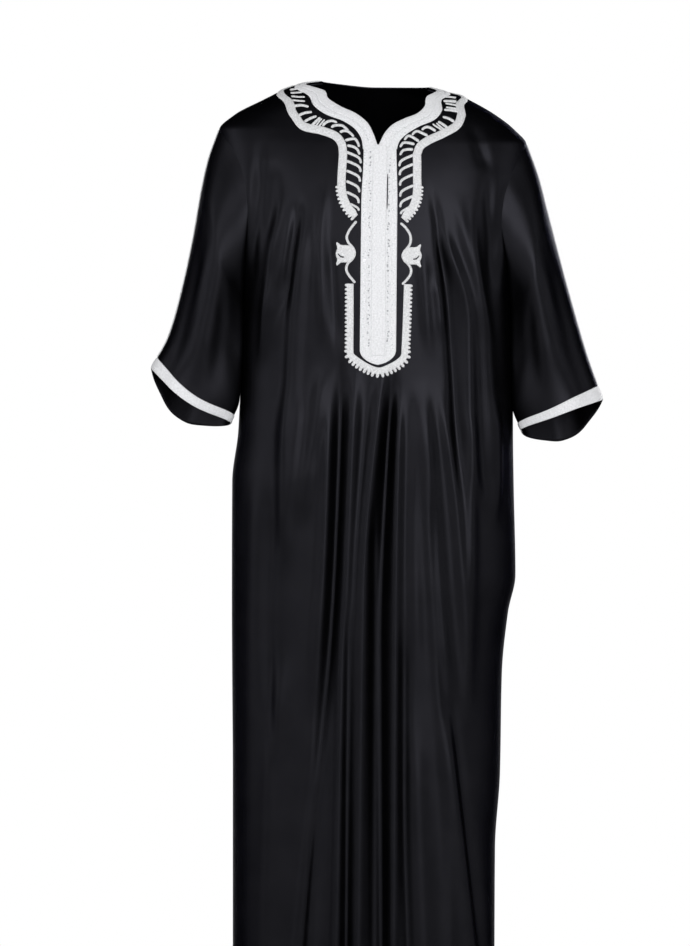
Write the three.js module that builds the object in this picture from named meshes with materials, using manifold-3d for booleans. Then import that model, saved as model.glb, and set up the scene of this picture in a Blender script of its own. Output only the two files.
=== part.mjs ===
// A men's djellaba of black satin with three-quarter sleeves, worn and hollow, in millimetres with +Z up.
// The origin is where the shoulders carry it, the front faces -Y and the wearer's left sleeve is at +X.
import * as THREE from 'three';
import Module from 'manifold-3d';

const wasm = await Module();
wasm.setup();

// Driving dimensions.
const LENGTH = 1420;        // from the neck side down to the hem
const CLOTH = 2;            // wall of the cloth
const SEAM_GAP = 0.3;       // between two pieces sewn together
const LIFT = 0.7;           // from a panel to the underside of what lies on it
const TRIM = 1.8;           // thickness of braid and embroidery
const CUFF_BAND = 16.5;     // width of the band round each cuff
const ARMHOLE_DEPTH = 80;   // the armhole's reach to the front and to the back
const PLACKET_TOP = -100.9;
const PLACKET_BOTTOM = -434; // the corners of its point
const PLACKET_TIP = -453;
const FLAP_HALF = 11.5;     // half of the raised overlap down the placket's middle
const BORDER_HALF = 6.7;    // half of the outer border's width
const NECKBAND_WIDTH = 28;
const BORDER_REACH = 51;    // from the neckline to the outer border's middle, over the shoulder and behind
const BACK_NECK_DROP = 3;
const COMB_PITCH = 6.6;

// Mesh sizes.
const FRONT_COLUMNS = 38;
const BACK_COLUMNS = 28;
const ARMHOLE_STEPS = 10;
const SLEEVE_RINGS = 10;

const RIGHT_ANGLE = Math.PI / 2;

// Level sections of the body: half-widths towards -X and +X, depths to the front and back, squareness.
const SECTIONS = [
  { z: -1420, left: 234, right: 188, front: 150, back: 140, power: 2.35 },
  { z: -1230, left: 234, right: 189, front: 149, back: 139, power: 2.35 },
  { z: -1110, left: 234, right: 197, front: 147, back: 138, power: 2.35 },
  { z: -950, left: 235, right: 200, front: 145, back: 136, power: 2.35 },
  { z: -850, left: 235.5, right: 210, front: 144, back: 134, power: 2.35 },
  { z: -790, left: 235.5, right: 222, front: 143, back: 133, power: 2.35 },
  { z: -640, left: 235, right: 219, front: 141, back: 128, power: 2.4 },
  { z: -556, left: 225, right: 218, front: 139, back: 125, power: 2.4 },
  { z: -450, left: 221, right: 218, front: 136, back: 124, power: 2.4 },
  { z: -340, left: 221, right: 219, front: 136, back: 129, power: 2.5 },
  { z: -260, left: 233, right: 226, front: 133, back: 131, power: 2.55 },
  { z: -200, left: 243, right: 233, front: 127, back: 130, power: 2.55 },
  { z: -150, left: 250, right: 238, front: 118, back: 126, power: 2.5 },
  { z: -97, left: 255, right: 240, front: 103, back: 118, power: 2.4 },
  { z: -73, left: 256, right: 221, front: 93, back: 110, power: 2.35 },
  { z: -48, left: 231, right: 189, front: 80, back: 99, power: 2.3 },
  { z: -24, left: 185, right: 147, front: 64, back: 84, power: 2.2 },
  { z: -18, left: 173, right: 134, front: 60, back: 79, power: 2.15 },
  { z: -9, left: 155, right: 100, front: 53, back: 71, power: 2.1 },
  { z: -3, left: 139, right: 78, front: 49, back: 65, power: 2.1 },
  { z: 2, left: 120, right: 68, front: 45, back: 60, power: 2.1 },
  { z: 6, left: 88, right: 58, front: 40, back: 54, power: 2.1 },
];

// Where each armhole starts under the arm and ends on the shoulder.
const ARMHOLES = {
  left: { under: -330, top: -73 },
  right: { under: -340, top: -97 },
};

// Heights of the rows of the body's mesh below the armholes.
const LOWER_ROWS = [-1420, -1300, -1180, -1060, -940, -830, -725, -630, -545, -470, -400];

// Folds of the front and back as seen from their own side: the line of each, its height out of the cloth
// (a trough is negative) and its half-width. A line that ends at the hem runs out of it.
const FRONT_FOLDS = [
  { x1: -175, z1: -120, x2: -178, z2: -190, x3: -180, z3: -270, height: -7, width: 17 },
  { x1: -187, z1: -73, x2: -206, z2: -206, x3: -198, z3: -394, height: -8, width: 13 },
  { x1: -150, z1: -165, x2: -166, z2: -256, x3: -187, z3: -453, height: 8, width: 13 },
  { x1: -108, z1: -168, x2: -135, z2: -400, x3: -147, z3: -760, height: 9, width: 15 },
  { x1: -77, z1: -256, x2: -70, z2: -350, x3: -66, z3: -440, height: 3, width: 20 },
  { x1: -87, z1: -440, x2: -105, z2: -580, x3: -125, z3: -720, height: 7, width: 14 },
  { x1: -77, z1: -490, x2: -88, z2: -800, x3: -125, z3: -1420, height: 9, width: 17 },
  { x1: -62, z1: -480, x2: -66, z2: -640, x3: -72, z3: -830, height: -8, width: 12 },
  { x1: -37, z1: -470, x2: -55, z2: -918, x3: -71, z3: -1420, height: 11, width: 15 },
  { x1: 6, z1: -470, x2: -24, z2: -815, x3: -31, z3: -1420, height: 13, width: 14 },
  { x1: 5, z1: -600, x2: 2, z2: -985, x3: 4, z3: -1420, height: -11, width: 13 },
  { x1: 36, z1: -480, x2: 29, z2: -815, x3: 34, z3: -1420, height: 11, width: 14 },
  { x1: 62, z1: -470, x2: 58, z2: -700, x3: 64, z3: -1000, height: 6, width: 14 },
  { x1: 73, z1: -470, x2: 92, z2: -792, x3: 150, z3: -1420, height: 11, width: 14 },
  { x1: 98, z1: -700, x2: 116, z2: -860, x3: 172, z3: -1420, height: -7, width: 13 },
  { x1: 81, z1: -190, x2: 142, z2: -400, x3: 150, z3: -1042, height: 8, width: 14 },
  { x1: 124, z1: -165, x2: 172, z2: -420, x3: 190, z3: -740, height: 8, width: 13 },
  { x1: 176, z1: -130, x2: 184, z2: -256, x3: 186, z3: -360, height: -8, width: 12 },
  { x1: 121, z1: -500, x2: 121, z2: -561, x3: 124, z3: -640, height: -6, width: 13 },
  { x1: -150, z1: -900, x2: -172, z2: -1150, x3: -180, z3: -1420, height: 8, width: 18 },
  { x1: -116, z1: -930, x2: -128, z2: -1200, x3: -145, z3: -1420, height: -6, width: 14 },
];
const BACK_FOLDS = [
  { x1: -150, z1: -150, x2: -168, z2: -320, x3: -176, z3: -560, height: 8, width: 16 },
  { x1: -118, z1: -170, x2: -128, z2: -420, x3: -140, z3: -1420, height: 10, width: 18 },
  { x1: -78, z1: -230, x2: -80, z2: -600, x3: -92, z3: -1420, height: -9, width: 16 },
  { x1: -44, z1: -260, x2: -46, z2: -760, x3: -52, z3: -1420, height: 11, width: 17 },
  { x1: -4, z1: -330, x2: -8, z2: -800, x3: -6, z3: -1420, height: -9, width: 17 },
  { x1: 34, z1: -240, x2: 36, z2: -700, x3: 40, z3: -1420, height: 12, width: 17 },
  { x1: 72, z1: -300, x2: 78, z2: -700, x3: 88, z3: -1420, height: -8, width: 16 },
  { x1: 112, z1: -180, x2: 120, z2: -480, x3: 132, z3: -1420, height: 10, width: 17 },
  { x1: 152, z1: -150, x2: 164, z2: -330, x3: 168, z3: -600, height: 7, width: 15 },
  { x1: 168, z1: -700, x2: 172, z2: -1000, x3: 166, z3: -1420, height: -6, width: 15 },
  { x1: -186, z1: -640, x2: -188, z2: -1000, x3: -190, z3: -1420, height: -6, width: 15 },
];

// Sleeve rings from the armhole (0) to the cuff (1): distance out and height of the over-arm line and of
// the underarm line, half-depths to the front and back, and how far the rim sags between those lines.
const SLEEVES = {
  left: [
    { at: 0, topX: 256, topZ: -73, underX: 221, underZ: -330, front: 80, back: 80, sagF: 0, sagB: 0 },
    { at: 0.15, topX: 273, topZ: -121, underX: 224, underZ: -360, front: 82, back: 80, sagF: 0, sagB: 0 },
    { at: 0.3, topX: 283, topZ: -165, underX: 226, underZ: -392, front: 80, back: 77, sagF: 0, sagB: 3 },
    { at: 0.5, topX: 298, topZ: -250, underX: 229, underZ: -436, front: 75, back: 72, sagF: 2, sagB: 10 },
    { at: 0.7, topX: 315, topZ: -328, underX: 232, underZ: -480, front: 70, back: 69, sagF: 5, sagB: 20 },
    { at: 0.86, topX: 338, topZ: -407, underX: 235, underZ: -516, front: 67, back: 69, sagF: 8, sagB: 30 },
    { at: 1, topX: 366, topZ: -457, underX: 239, underZ: -547, front: 67, back: 71, sagF: 11, sagB: 41 },
  ],
  right: [
    { at: 0, topX: 240, topZ: -97, underX: 219, underZ: -340, front: 80, back: 80, sagF: 0, sagB: 0 },
    { at: 0.15, topX: 259, topZ: -150, underX: 222, underZ: -372, front: 82, back: 80, sagF: 0, sagB: 0 },
    { at: 0.3, topX: 273, topZ: -204, underX: 224, underZ: -405, front: 80, back: 77, sagF: 0, sagB: 3 },
    { at: 0.5, topX: 293, topZ: -281, underX: 227, underZ: -450, front: 75, back: 72, sagF: -1, sagB: 10 },
    { at: 0.7, topX: 314, topZ: -358, underX: 229, underZ: -494, front: 70, back: 69, sagF: -2, sagB: 20 },
    { at: 0.86, topX: 337, topZ: -436, underX: 231, underZ: -529, front: 67, back: 69, sagF: -3, sagB: 29 },
    { at: 1, topX: 363, topZ: -508, underX: 234, underZ: -560, front: 67, back: 71, sagF: -3, sagB: 38 },
  ],
};

// How far a sleeve's inner side is tucked towards the body from the armhole (0) to the cuff (1), and where
// round the arm the tuck lies, to the front and to the back, in degrees.
const TUCKS = [
  { at: 0, depth: 0 }, { at: 0.15, depth: 4 }, { at: 0.3, depth: 12 }, { at: 0.5, depth: 20 },
  { at: 0.7, depth: 22 }, { at: 0.86, depth: 22 }, { at: 1, depth: 12 },
];
const TUCK = { angle: 138, width: 26 };

// Folds of the sleeves: the angle round the arm from the over-arm line, to the front when positive.
const SLEEVE_FOLDS = [
  { angle: 128, width: 18, from: 0.02, to: 0.85, height: -9 },
  { angle: 84, width: 19, from: 0.12, to: 0.95, height: 6 },
  { angle: 46, width: 17, from: 0.35, to: 1.2, height: -5 },
  { angle: -58, width: 20, from: 0.2, to: 1.2, height: -6 },
  { angle: -92, width: 18, from: 0.1, to: 0.9, height: 6 },
  { angle: -130, width: 18, from: 0.02, to: 0.8, height: -8 },
];

// Half of the neck from the notch to the shoulder seam, seen from the front: the neckline, the neckband's
// outer edge and the middle of the outer border, on each side.
const NECK = {
  left: [
    { neckX: 0.3, neckZ: -100, bandX: 24, bandZ: -106, edgeX: 56.1, edgeZ: -114 },
    { neckX: 7, neckZ: -81, bandX: 26, bandZ: -91.5, edgeX: 57.5, edgeZ: -100 },
    { neckX: 15.5, neckZ: -64.5, bandX: 35, bandZ: -75, edgeX: 66, edgeZ: -86 },
    { neckX: 33, neckZ: -49, bandX: 55, bandZ: -60.5, edgeX: 90, edgeZ: -75.5 },
    { neckX: 60, neckZ: -36, bandX: 82, bandZ: -50, edgeX: 117, edgeZ: -69.5 },
    { neckX: 79.6, neckZ: -23, bandX: 103, bandZ: -35, edgeX: 134.5, edgeZ: -50.5 },
    { neckX: 85, neckZ: -11, bandX: 111.5, bandZ: -19, edgeX: 144, edgeZ: -28 },
  ],
  right: [
    { neckX: 0.3, neckZ: -100, bandX: 30.3, bandZ: -106, edgeX: 62.6, edgeZ: -114 },
    { neckX: 11, neckZ: -79, bandX: 34, bandZ: -94, edgeX: 67.5, edgeZ: -101.5 },
    { neckX: 23, neckZ: -66, bandX: 44, bandZ: -83, edgeX: 79, edgeZ: -92.5 },
    { neckX: 42, neckZ: -56, bandX: 66, bandZ: -69, edgeX: 103, edgeZ: -81 },
    { neckX: 62, neckZ: -48, bandX: 90, bandZ: -58.5, edgeX: 125.5, edgeZ: -68 },
    { neckX: 75, neckZ: -36, bandX: 103, bandZ: -43, edgeX: 134, edgeZ: -51 },
    { neckX: 78.5, neckZ: -20, bandX: 102.5, bandZ: -26, edgeX: 132, edgeZ: -33 },
  ],
};
// On the shoulder seam the same three lines are known by their distance from the middle alone.
const SHOULDER_REACH = {
  left: { neck: 90, band: 119, edge: 149.5 },
  right: { neck: 81.5, band: 100, edge: 130 },
};

// The placket's middle and half-width down to its point.
const PLACKET = [
  { z: -452, middle: -0.2, half: 29.2 },
  { z: -434, middle: -0.2, half: 29.2 },
  { z: -185, middle: 2.2, half: 29 },
  { z: -121, middle: 3.3, half: 26.8 },
  { z: -100, middle: 3.3, half: 26.3 },
];

// The outer border's middle below the neck, from its curled-in end up.
const LADDER_TAIL = {
  left: [
    { x: 35, z: -214 }, { x: 41, z: -208 }, { x: 48.6, z: -199 }, { x: 55.5, z: -184 },
    { x: 58.4, z: -168 }, { x: 58.4, z: -150 }, { x: 57.2, z: -130 }, { x: 56.1, z: -114 },
  ],
  right: [
    { x: 40, z: -218 }, { x: 50, z: -207 }, { x: 57, z: -197 }, { x: 61.5, z: -184 }, { x: 63, z: -170 },
    { x: 63, z: -150 }, { x: 63, z: -130 }, { x: 62.6, z: -114 },
  ],
};

// Rungs below the neck start at one x, and go by one shape from the height where each lies.
const STRAIGHT_RUNGS = {
  left: { start: 51, heights: [-111.3, -125.8, -141.9, -159.2, -176.3] },
  right: { start: 57, heights: [-116.1, -130.6, -147.6, -165.3, -182.7] },
};
const RUNG_SHAPE = [[0, 0.9], [-11, -1.8], [-16, -8], [-17.5, -13]];

// Rungs round the neck, point by point from the border in: x from the middle, and z.
const CURVED_RUNGS = {
  left: [
    [[48.5, -99.5], [39.8, -101.6], [33.8, -110]],
    [[53.5, -91.4], [38, -89.4], [33.5, -98]],
    [[62, -78.5], [48.4, -76.8], [42, -83]],
    [[76, -70.6], [64.5, -67], [52.4, -73.4]],
    [[90, -69], [79.6, -61], [70, -62.5]],
    [[107, -68.4], [97.5, -59]],
    [[119, -61.4], [103, -54]],
    [[127, -51], [111.5, -46.8]],
    [[136, -35.5], [117, -35]],
  ],
  right: [
    [[55.5, -105.9], [41, -107.5], [38.6, -113]],
    [[59, -97.6], [42, -95.6], [39, -101]],
    [[67, -93.6], [52, -85], [47, -89.5]],
    [[81, -84], [65, -77], [58.5, -81]],
    [[94, -77], [79, -71], [74.5, -74]],
    [[113.5, -72.4], [100.5, -63.5]],
    [[123, -61], [109, -54.8]],
    [[128, -43.8], [110.5, -42]],
    [[125.5, -27.6], [109.5, -27.2]],
  ],
};

// The stems between the ladder and the comb border, above and below each rosette, and the rosettes.
const STEMS = {
  left: [
    [
      { x: 34.4, z: -222.8 }, { x: 42.2, z: -231.4 }, { x: 48.5, z: -241.2 }, { x: 49.7, z: -250 },
      { x: 45.5, z: -264.5 },
    ],
    [
      { x: 44, z: -283 }, { x: 50.2, z: -295 }, { x: 50.8, z: -303.8 }, { x: 46.1, z: -312.6 },
      { x: 37, z: -320 },
    ],
  ],
  right: [
    [
      { x: 38, z: -225.6 }, { x: 45.8, z: -232.6 }, { x: 51.6, z: -243.2 }, { x: 53.2, z: -252.9 },
      { x: 49, z: -268 },
    ],
    [
      { x: 48, z: -286 }, { x: 53.6, z: -297.4 }, { x: 53.2, z: -306.7 }, { x: 47.7, z: -315 },
      { x: 40, z: -320.6 },
    ],
  ],
};
const STEM_HALF = 2;
const STEM_STEPS = 8;
const ROSETTES = { left: { x: 52.5, z: -274 }, right: { x: 54.5, z: -277.4 } };
const ROSETTE = { radius: 13.6, ear: 20.5, earAngle: 50, earWidth: 22, hole: 2.4, holeOut: 6 };

// The comb border's middle line from its left end round the placket's point to its right end, its reach
// inwards, and its reach outwards at the roots and at the tips of its teeth.
const COMB_LINE = [
  { x: -46, z: -323.5 }, { x: -46, z: -380 }, { x: -46.2, z: -425 }, { x: -45, z: -437 },
  { x: -37, z: -445.5 }, { x: -20, z: -456.5 }, { x: 0.8, z: -464 }, { x: 21, z: -457.5 },
  { x: 37, z: -447.5 }, { x: 43.5, z: -438 }, { x: 44.6, z: -425 }, { x: 46.6, z: -380 },
  { x: 48.4, z: -324.5 },
];
const COMB = { inner: 6.4, root: 3.6, tip: 7.6 };

const SATIN = material(0x1b1b20, 0.42);
const BRAID = material(0xe4e3e0, 0.75);
const CORD = material(0xd9d8d4, 0.7);
const BAND = material(0xdddcd8, 0.65);

function material(color, roughness) {
  return new THREE.MeshStandardMaterial({ color, roughness, metalness: 0 });
}

// A smooth curve through the rows of a table that never overshoots them.
function through(rows, at, column) {
  const xs = rows.map((row) => row[at]);
  const ys = rows.map((row) => row[column]);
  const slopes = xs.slice(1).map((x, i) => (ys[i + 1] - ys[i]) / (x - xs[i]));
  const tangents = xs.map((_, i) => {
    if (i === 0) return slopes[0];
    if (i === xs.length - 1) return slopes[i - 1];
    const product = slopes[i - 1] * slopes[i];
    return product <= 0 ? 0 : (2 * product) / (slopes[i - 1] + slopes[i]);
  });
  return (x) => {
    const t = Math.min(Math.max(x, Math.min(xs[0], xs.at(-1))), Math.max(xs[0], xs.at(-1)));
    let i = 0;
    while (i < xs.length - 2 && (t - xs[i + 1]) * Math.sign(xs.at(-1) - xs[0]) > 0) i += 1;
    const span = xs[i + 1] - xs[i];
    const u = (t - xs[i]) / span;
    return (
      ys[i] * (1 + 2 * u) * (1 - u) ** 2 + ys[i + 1] * u * u * (3 - 2 * u) +
      span * (tangents[i] * u * (1 - u) ** 2 - tangents[i + 1] * u * u * (1 - u))
    );
  };
}

function mix(a, b, share) {
  return a + (b - a) * share;
}

function smooth(from, to, x) {
  const t = Math.min(Math.max((x - from) / (to - from), 0), 1);
  return t * t * (3 - 2 * t);
}

// The x or z at which a rising or falling function reaches a value.
function solve(f, value, low, high) {
  const rising = f(high) > f(low);
  let [a, b] = [low, high];
  for (let i = 0; i < 40; i += 1) {
    const middle = (a + b) / 2;
    if (f(middle) < value === rising) a = middle;
    else b = middle;
  }
  return (a + b) / 2;
}

const body = Object.fromEntries(
  ['left', 'right', 'front', 'back', 'power'].map((column) => [column, through(SECTIONS, 'z', column)]),
);

function sideName(x) {
  return x < 0 ? 'left' : 'right';
}

// The body's level section: r = ((|sin a| / width)^n + (|cos a| / depth)^n)^(-1/n), with a the angle from
// the middle of the front or back, towards +X when positive.
function plainBody(face, angle, z) {
  const n = body.power(z);
  const sine = Math.sin(angle);
  const cosine = Math.cos(angle);
  const across = Math.abs(sine) / body[sideName(sine)](z);
  const along = Math.abs(cosine) / body[face](z);
  const radius = (across ** n + along ** n) ** (-1 / n);
  return new THREE.Vector3(radius * sine, radius * cosine * (face === 'front' ? -1 : 1), z);
}

const folds = {
  front: FRONT_FOLDS.map(readyFold),
  back: BACK_FOLDS.map(readyFold),
};

function readyFold(fold) {
  const line = [
    { z: fold.z3, x: fold.x3 }, { z: fold.z2, x: fold.x2 }, { z: fold.z1, x: fold.x1 },
  ];
  return { ...fold, xAt: through(line, 'z', 'x') };
}

// How folds fade: in over a share of their length but no more than a set distance, out over a share of
// it, and towards the side seams where the cosine of the angle is small.
const FADE_IN = 0.3;
const FADE_IN_LONGEST = 160;
const FADE_OUT = 0.35;
const SIDE_COSINE = 0.3;

// The height of all folds at a point: bells across their lines, faded along them and at the sides.
function foldHeight(face, angle, x, z) {
  let height = 0;
  for (const fold of folds[face]) {
    const long = fold.z1 - fold.z3;
    const start = smooth(fold.z1, fold.z1 - Math.min(FADE_IN * long, FADE_IN_LONGEST), z);
    const end = fold.z3 <= -LENGTH ? 1 : smooth(fold.z3, fold.z3 + FADE_OUT * long, z);
    height += fold.height * start * end * Math.exp(-(((x - fold.xAt(z)) / fold.width) ** 2));
  }
  return height * (1 - Math.exp(-((Math.cos(angle) / SIDE_COSINE) ** 2)));
}

function normalOf(surface, a, b, stepA, stepB) {
  const alongA = surface(a + stepA, b).sub(surface(a - stepA, b));
  const alongB = surface(a, b + stepB).sub(surface(a, b - stepB));
  return alongA.cross(alongB).normalize();
}

const ANGLE_STEP = 0.01;
const HEIGHT_STEP = 0.5;

// Outward normals of the body come from small steps in angle and height.
function bodyNormal(surface, face, angle, z) {
  const normal = normalOf(surface, angle, z, ANGLE_STEP, HEIGHT_STEP);
  return normal.multiplyScalar(face === 'front' ? 1 : -1);
}

function foldedBody(face, angle, z) {
  const point = plainBody(face, angle, z);
  const normal = bodyNormal((a, h) => plainBody(face, a, h), face, angle, z);
  return point.addScaledVector(normal, foldHeight(face, angle, point.x, z));
}

// One spot on the cloth: its outer point and its outward normal.
function bodySpot(face, angle, z) {
  const normal = bodyNormal((a, h) => foldedBody(face, a, h), face, angle, z);
  return { point: foldedBody(face, angle, z), normal };
}

// The angle of the point that a viewer of that face sees at x and z.
function angleAt(face, x, z) {
  const share = Math.min(Math.abs(x) / body[sideName(x)](z), 1);
  const n = body.power(z);
  const depth = body[face](z) * (1 - share ** n) ** (1 / n);
  return Math.atan2(x, depth);
}

// How far round a panel reaches at a height: to the side or shoulder seam, or only to the armhole's edge.
function panelEdge(face, side, z) {
  const { under, top } = ARMHOLES[side];
  const height = (2 * (z - under)) / (top - under) - 1;
  if (Math.abs(height) >= 1) return RIGHT_ANGLE;
  const reach = ARMHOLE_DEPTH * Math.sqrt(1 - height * height);
  const n = body.power(z);
  const width = body[side](z) * (1 - (reach / body[face](z)) ** n) ** (1 / n);
  return Math.atan2(width, reach);
}

// Neck lines as angle and height, from the notch (station 0) to the shoulder seam (station 7).
const RIDGE_STATION = NECK.left.length;
const neckLines = { left: neckLinesOf(-1), right: neckLinesOf(1) };

function ridgeHeight(side, distance) {
  return solve(body[side], distance, -60, SECTIONS.at(-1).z);
}

function neckLinesOf(sign) {
  const side = sideName(sign);
  const lines = {};
  for (const [name, reach] of Object.entries(SHOULDER_REACH[side])) {
    const rows = NECK[side].map((row, at) => {
      const z = row[`${name}Z`];
      return { at, z, angle: Math.abs(angleAt('front', sign * row[`${name}X`], z)) };
    });
    rows.push({ at: RIDGE_STATION, z: ridgeHeight(side, reach), angle: RIGHT_ANGLE });
    lines[name] = { angle: through(rows, 'at', 'angle'), z: through(rows, 'at', 'z') };
  }
  return lines;
}

// The front neckline's height at an angle, and the back's, which is almost level.
function necklineHeight(face, angle) {
  const side = sideName(angle);
  const size = Math.abs(angle);
  const line = neckLines[side].neck;
  if (face === 'back') return mix(-BACK_NECK_DROP, line.z(RIDGE_STATION), Math.sin(size) ** 2);
  if (size <= line.angle(0)) return line.z(0);
  return line.z(solve(line.angle, size, 0, RIDGE_STATION));
}

// Rows between the armhole's top (0) and the neckline (1).
const SHOULDER_ROWS = [0.18, 0.36, 0.53, 0.69, 0.84, 1];

// Row heights at the panel's left and right edges, from the hem to the neck.
const ROWS = bodyRows();

function bodyRows() {
  const rows = LOWER_ROWS.map((z) => ({ left: z, right: z }));
  for (let i = 0; i <= ARMHOLE_STEPS; i += 1) {
    const rise = (1 - Math.cos((Math.PI * i) / ARMHOLE_STEPS)) / 2;
    const { left, right } = ARMHOLES;
    rows.push({ left: mix(left.under, left.top, rise), right: mix(right.under, right.top, rise) });
  }
  const tops = { left: neckLines.left.neck.z(RIDGE_STATION), right: neckLines.right.neck.z(RIDGE_STATION) };
  for (const share of SHOULDER_ROWS) {
    rows.push({
      left: mix(ARMHOLES.left.top, tops.left, share),
      right: mix(ARMHOLES.right.top, tops.right, share),
    });
  }
  return rows;
}

const NECK_ROWS_START = -430; // where the rows start to follow the neckline
const NECK_ROWS_POWER = 1.3;

// The height of a row at a place across the panel (-1 to 1). Towards the neck the rows follow the neckline.
function rowHeight(face, row, across) {
  const level = mix(ROWS[row].left, ROWS[row].right, (across + 1) / 2);
  const top = mix(ROWS.at(-1).left, ROWS.at(-1).right, (across + 1) / 2);
  const drop = necklineHeight(face, across * RIGHT_ANGLE) - top;
  const height = (level - NECK_ROWS_START) / (top - NECK_ROWS_START);
  return level + drop * THREE.MathUtils.clamp(height, 0, 1) ** NECK_ROWS_POWER;
}

function columnPlace(columns, column) {
  return (2 * column) / columns - 1;
}

// The angle of a place across a panel: even round the body, and drawn in beside an armhole, over a
// narrow stretch where the armhole cuts in a little and over a wide one where it cuts in far.
function angleOf(face, across, z) {
  const missing = RIGHT_ANGLE - panelEdge(face, sideName(across), z);
  const power = THREE.MathUtils.clamp((0.6 * RIGHT_ANGLE) / Math.max(missing, 1e-6), 1.5, 6);
  return Math.sign(across) * (Math.abs(across) * RIGHT_ANGLE - missing * Math.abs(across) ** power);
}

// A panel's grid of spots, rows from the hem up and columns from -X to +X, its seam edges held back.
function panelGrid(face, columns) {
  return ROWS.map((_, row) => {
    const spots = [];
    for (let column = 0; column <= columns; column += 1) {
      const across = columnPlace(columns, column);
      const z = rowHeight(face, row, across);
      const side = sideName(across);
      const spot = bodySpot(face, angleOf(face, across, z), z);
      if (Math.abs(across) === 1) holdBack(spot, face, z, side);
      spots.push(spot);
    }
    return spots;
  });
}

const HOLD_BACK_FORTH = 0.3; // keeps the way off an armhole's edge from turning straight up or down

// Moves an edge spot half a seam gap away from its neighbour: off the other panel, or off the sleeve.
function holdBack(spot, face, z, side) {
  const { under, top } = ARMHOLES[side];
  const middle = (under + top) / 2;
  const onArmhole = z > under - 1 && z < top + 1;
  const forth = face === 'front' ? -1 : 1;
  const away = new THREE.Vector3(0, forth, 0);
  if (onArmhole) {
    const reach = Math.abs(spot.point.y) / ARMHOLE_DEPTH + HOLD_BACK_FORTH;
    away.set(0, forth * reach, (z - middle) / (top - under) * 2);
  }
  away.addScaledVector(spot.normal, -away.dot(spot.normal)).normalize();
  spot.point.addScaledVector(away, SEAM_GAP / 2);
}

const frontGrid = panelGrid('front', FRONT_COLUMNS);
const backGrid = panelGrid('back', BACK_COLUMNS);
const panels = { front: frontGrid, back: backGrid };

// A closed shell between two heights over a grid of spots. A closed grid joins its last column to its first.
function shell(grid, low, high, closed = false) {
  const rows = grid.length;
  const columns = grid[0].length;
  const positions = [];
  for (const height of [high, low]) {
    for (const row of grid) {
      for (const spot of row) {
        const depth = height === low && spot.low !== undefined ? spot.low : height;
        positions.push(spot.point.clone().addScaledVector(spot.normal, depth));
      }
    }
  }
  const at = (layer, row, column) => layer * rows * columns + row * columns + (column % columns);
  const faces = [];
  const quad = (a, b, c, d) => faces.push([a, b, c], [a, c, d]);
  const spans = closed ? columns : columns - 1;
  for (let r = 0; r < rows - 1; r += 1) {
    for (let c = 0; c < spans; c += 1) {
      quad(at(0, r, c), at(0, r, c + 1), at(0, r + 1, c + 1), at(0, r + 1, c));
      quad(at(1, r, c), at(1, r + 1, c), at(1, r + 1, c + 1), at(1, r, c + 1));
    }
  }
  for (let c = 0; c < spans; c += 1) {
    quad(at(1, 0, c), at(1, 0, c + 1), at(0, 0, c + 1), at(0, 0, c));
    quad(at(0, rows - 1, c), at(0, rows - 1, c + 1), at(1, rows - 1, c + 1), at(1, rows - 1, c));
  }
  if (!closed) {
    for (let r = 0; r < rows - 1; r += 1) {
      quad(at(0, r, 0), at(0, r + 1, 0), at(1, r + 1, 0), at(1, r, 0));
      quad(at(1, r, spans), at(1, r + 1, spans), at(0, r + 1, spans), at(0, r, spans));
    }
  }
  return geometryOf(positions, faces);
}

// A geometry from points and triangles, turned inside out where its volume comes out negative.
function geometryOf(points, faces) {
  let volume = 0;
  for (const [a, b, c] of faces) volume += points[a].dot(points[b].clone().cross(points[c]));
  const turned = volume < 0 ? faces.map(([a, b, c]) => [a, c, b]) : faces;
  const geometry = new THREE.BufferGeometry();
  geometry.setAttribute('position', new THREE.Float32BufferAttribute(points.flatMap((p) => p.toArray()), 3));
  geometry.setIndex(turned.flat());
  return geometry;
}

function solidOf(geometry) {
  const vertProperties = new Float32Array(geometry.attributes.position.array);
  const triVerts = new Uint32Array(geometry.index.array);
  return new wasm.Manifold(new wasm.Mesh({ numProp: 3, vertProperties, triVerts }));
}

function union(geometries) {
  return meshOf(geometries.map(solidOf).reduce((whole, piece) => whole.add(piece)));
}

// A trim with a seam gap kept to the panels' facets below it.
function fitted(geometry) {
  let solid = solidOf(geometry);
  for (const grid of [frontGrid, backGrid]) solid = solid.subtract(solidOf(shell(grid, -CLOTH, SEAM_GAP)));
  return meshOf(solid);
}

function meshOf(solid) {
  const mesh = solid.getMesh();
  const geometry = new THREE.BufferGeometry();
  geometry.setAttribute('position', new THREE.BufferAttribute(new Float32Array(mesh.vertProperties), 3));
  geometry.setIndex(new THREE.BufferAttribute(new Uint32Array(mesh.triVerts), 1));
  return geometry;
}

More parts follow.
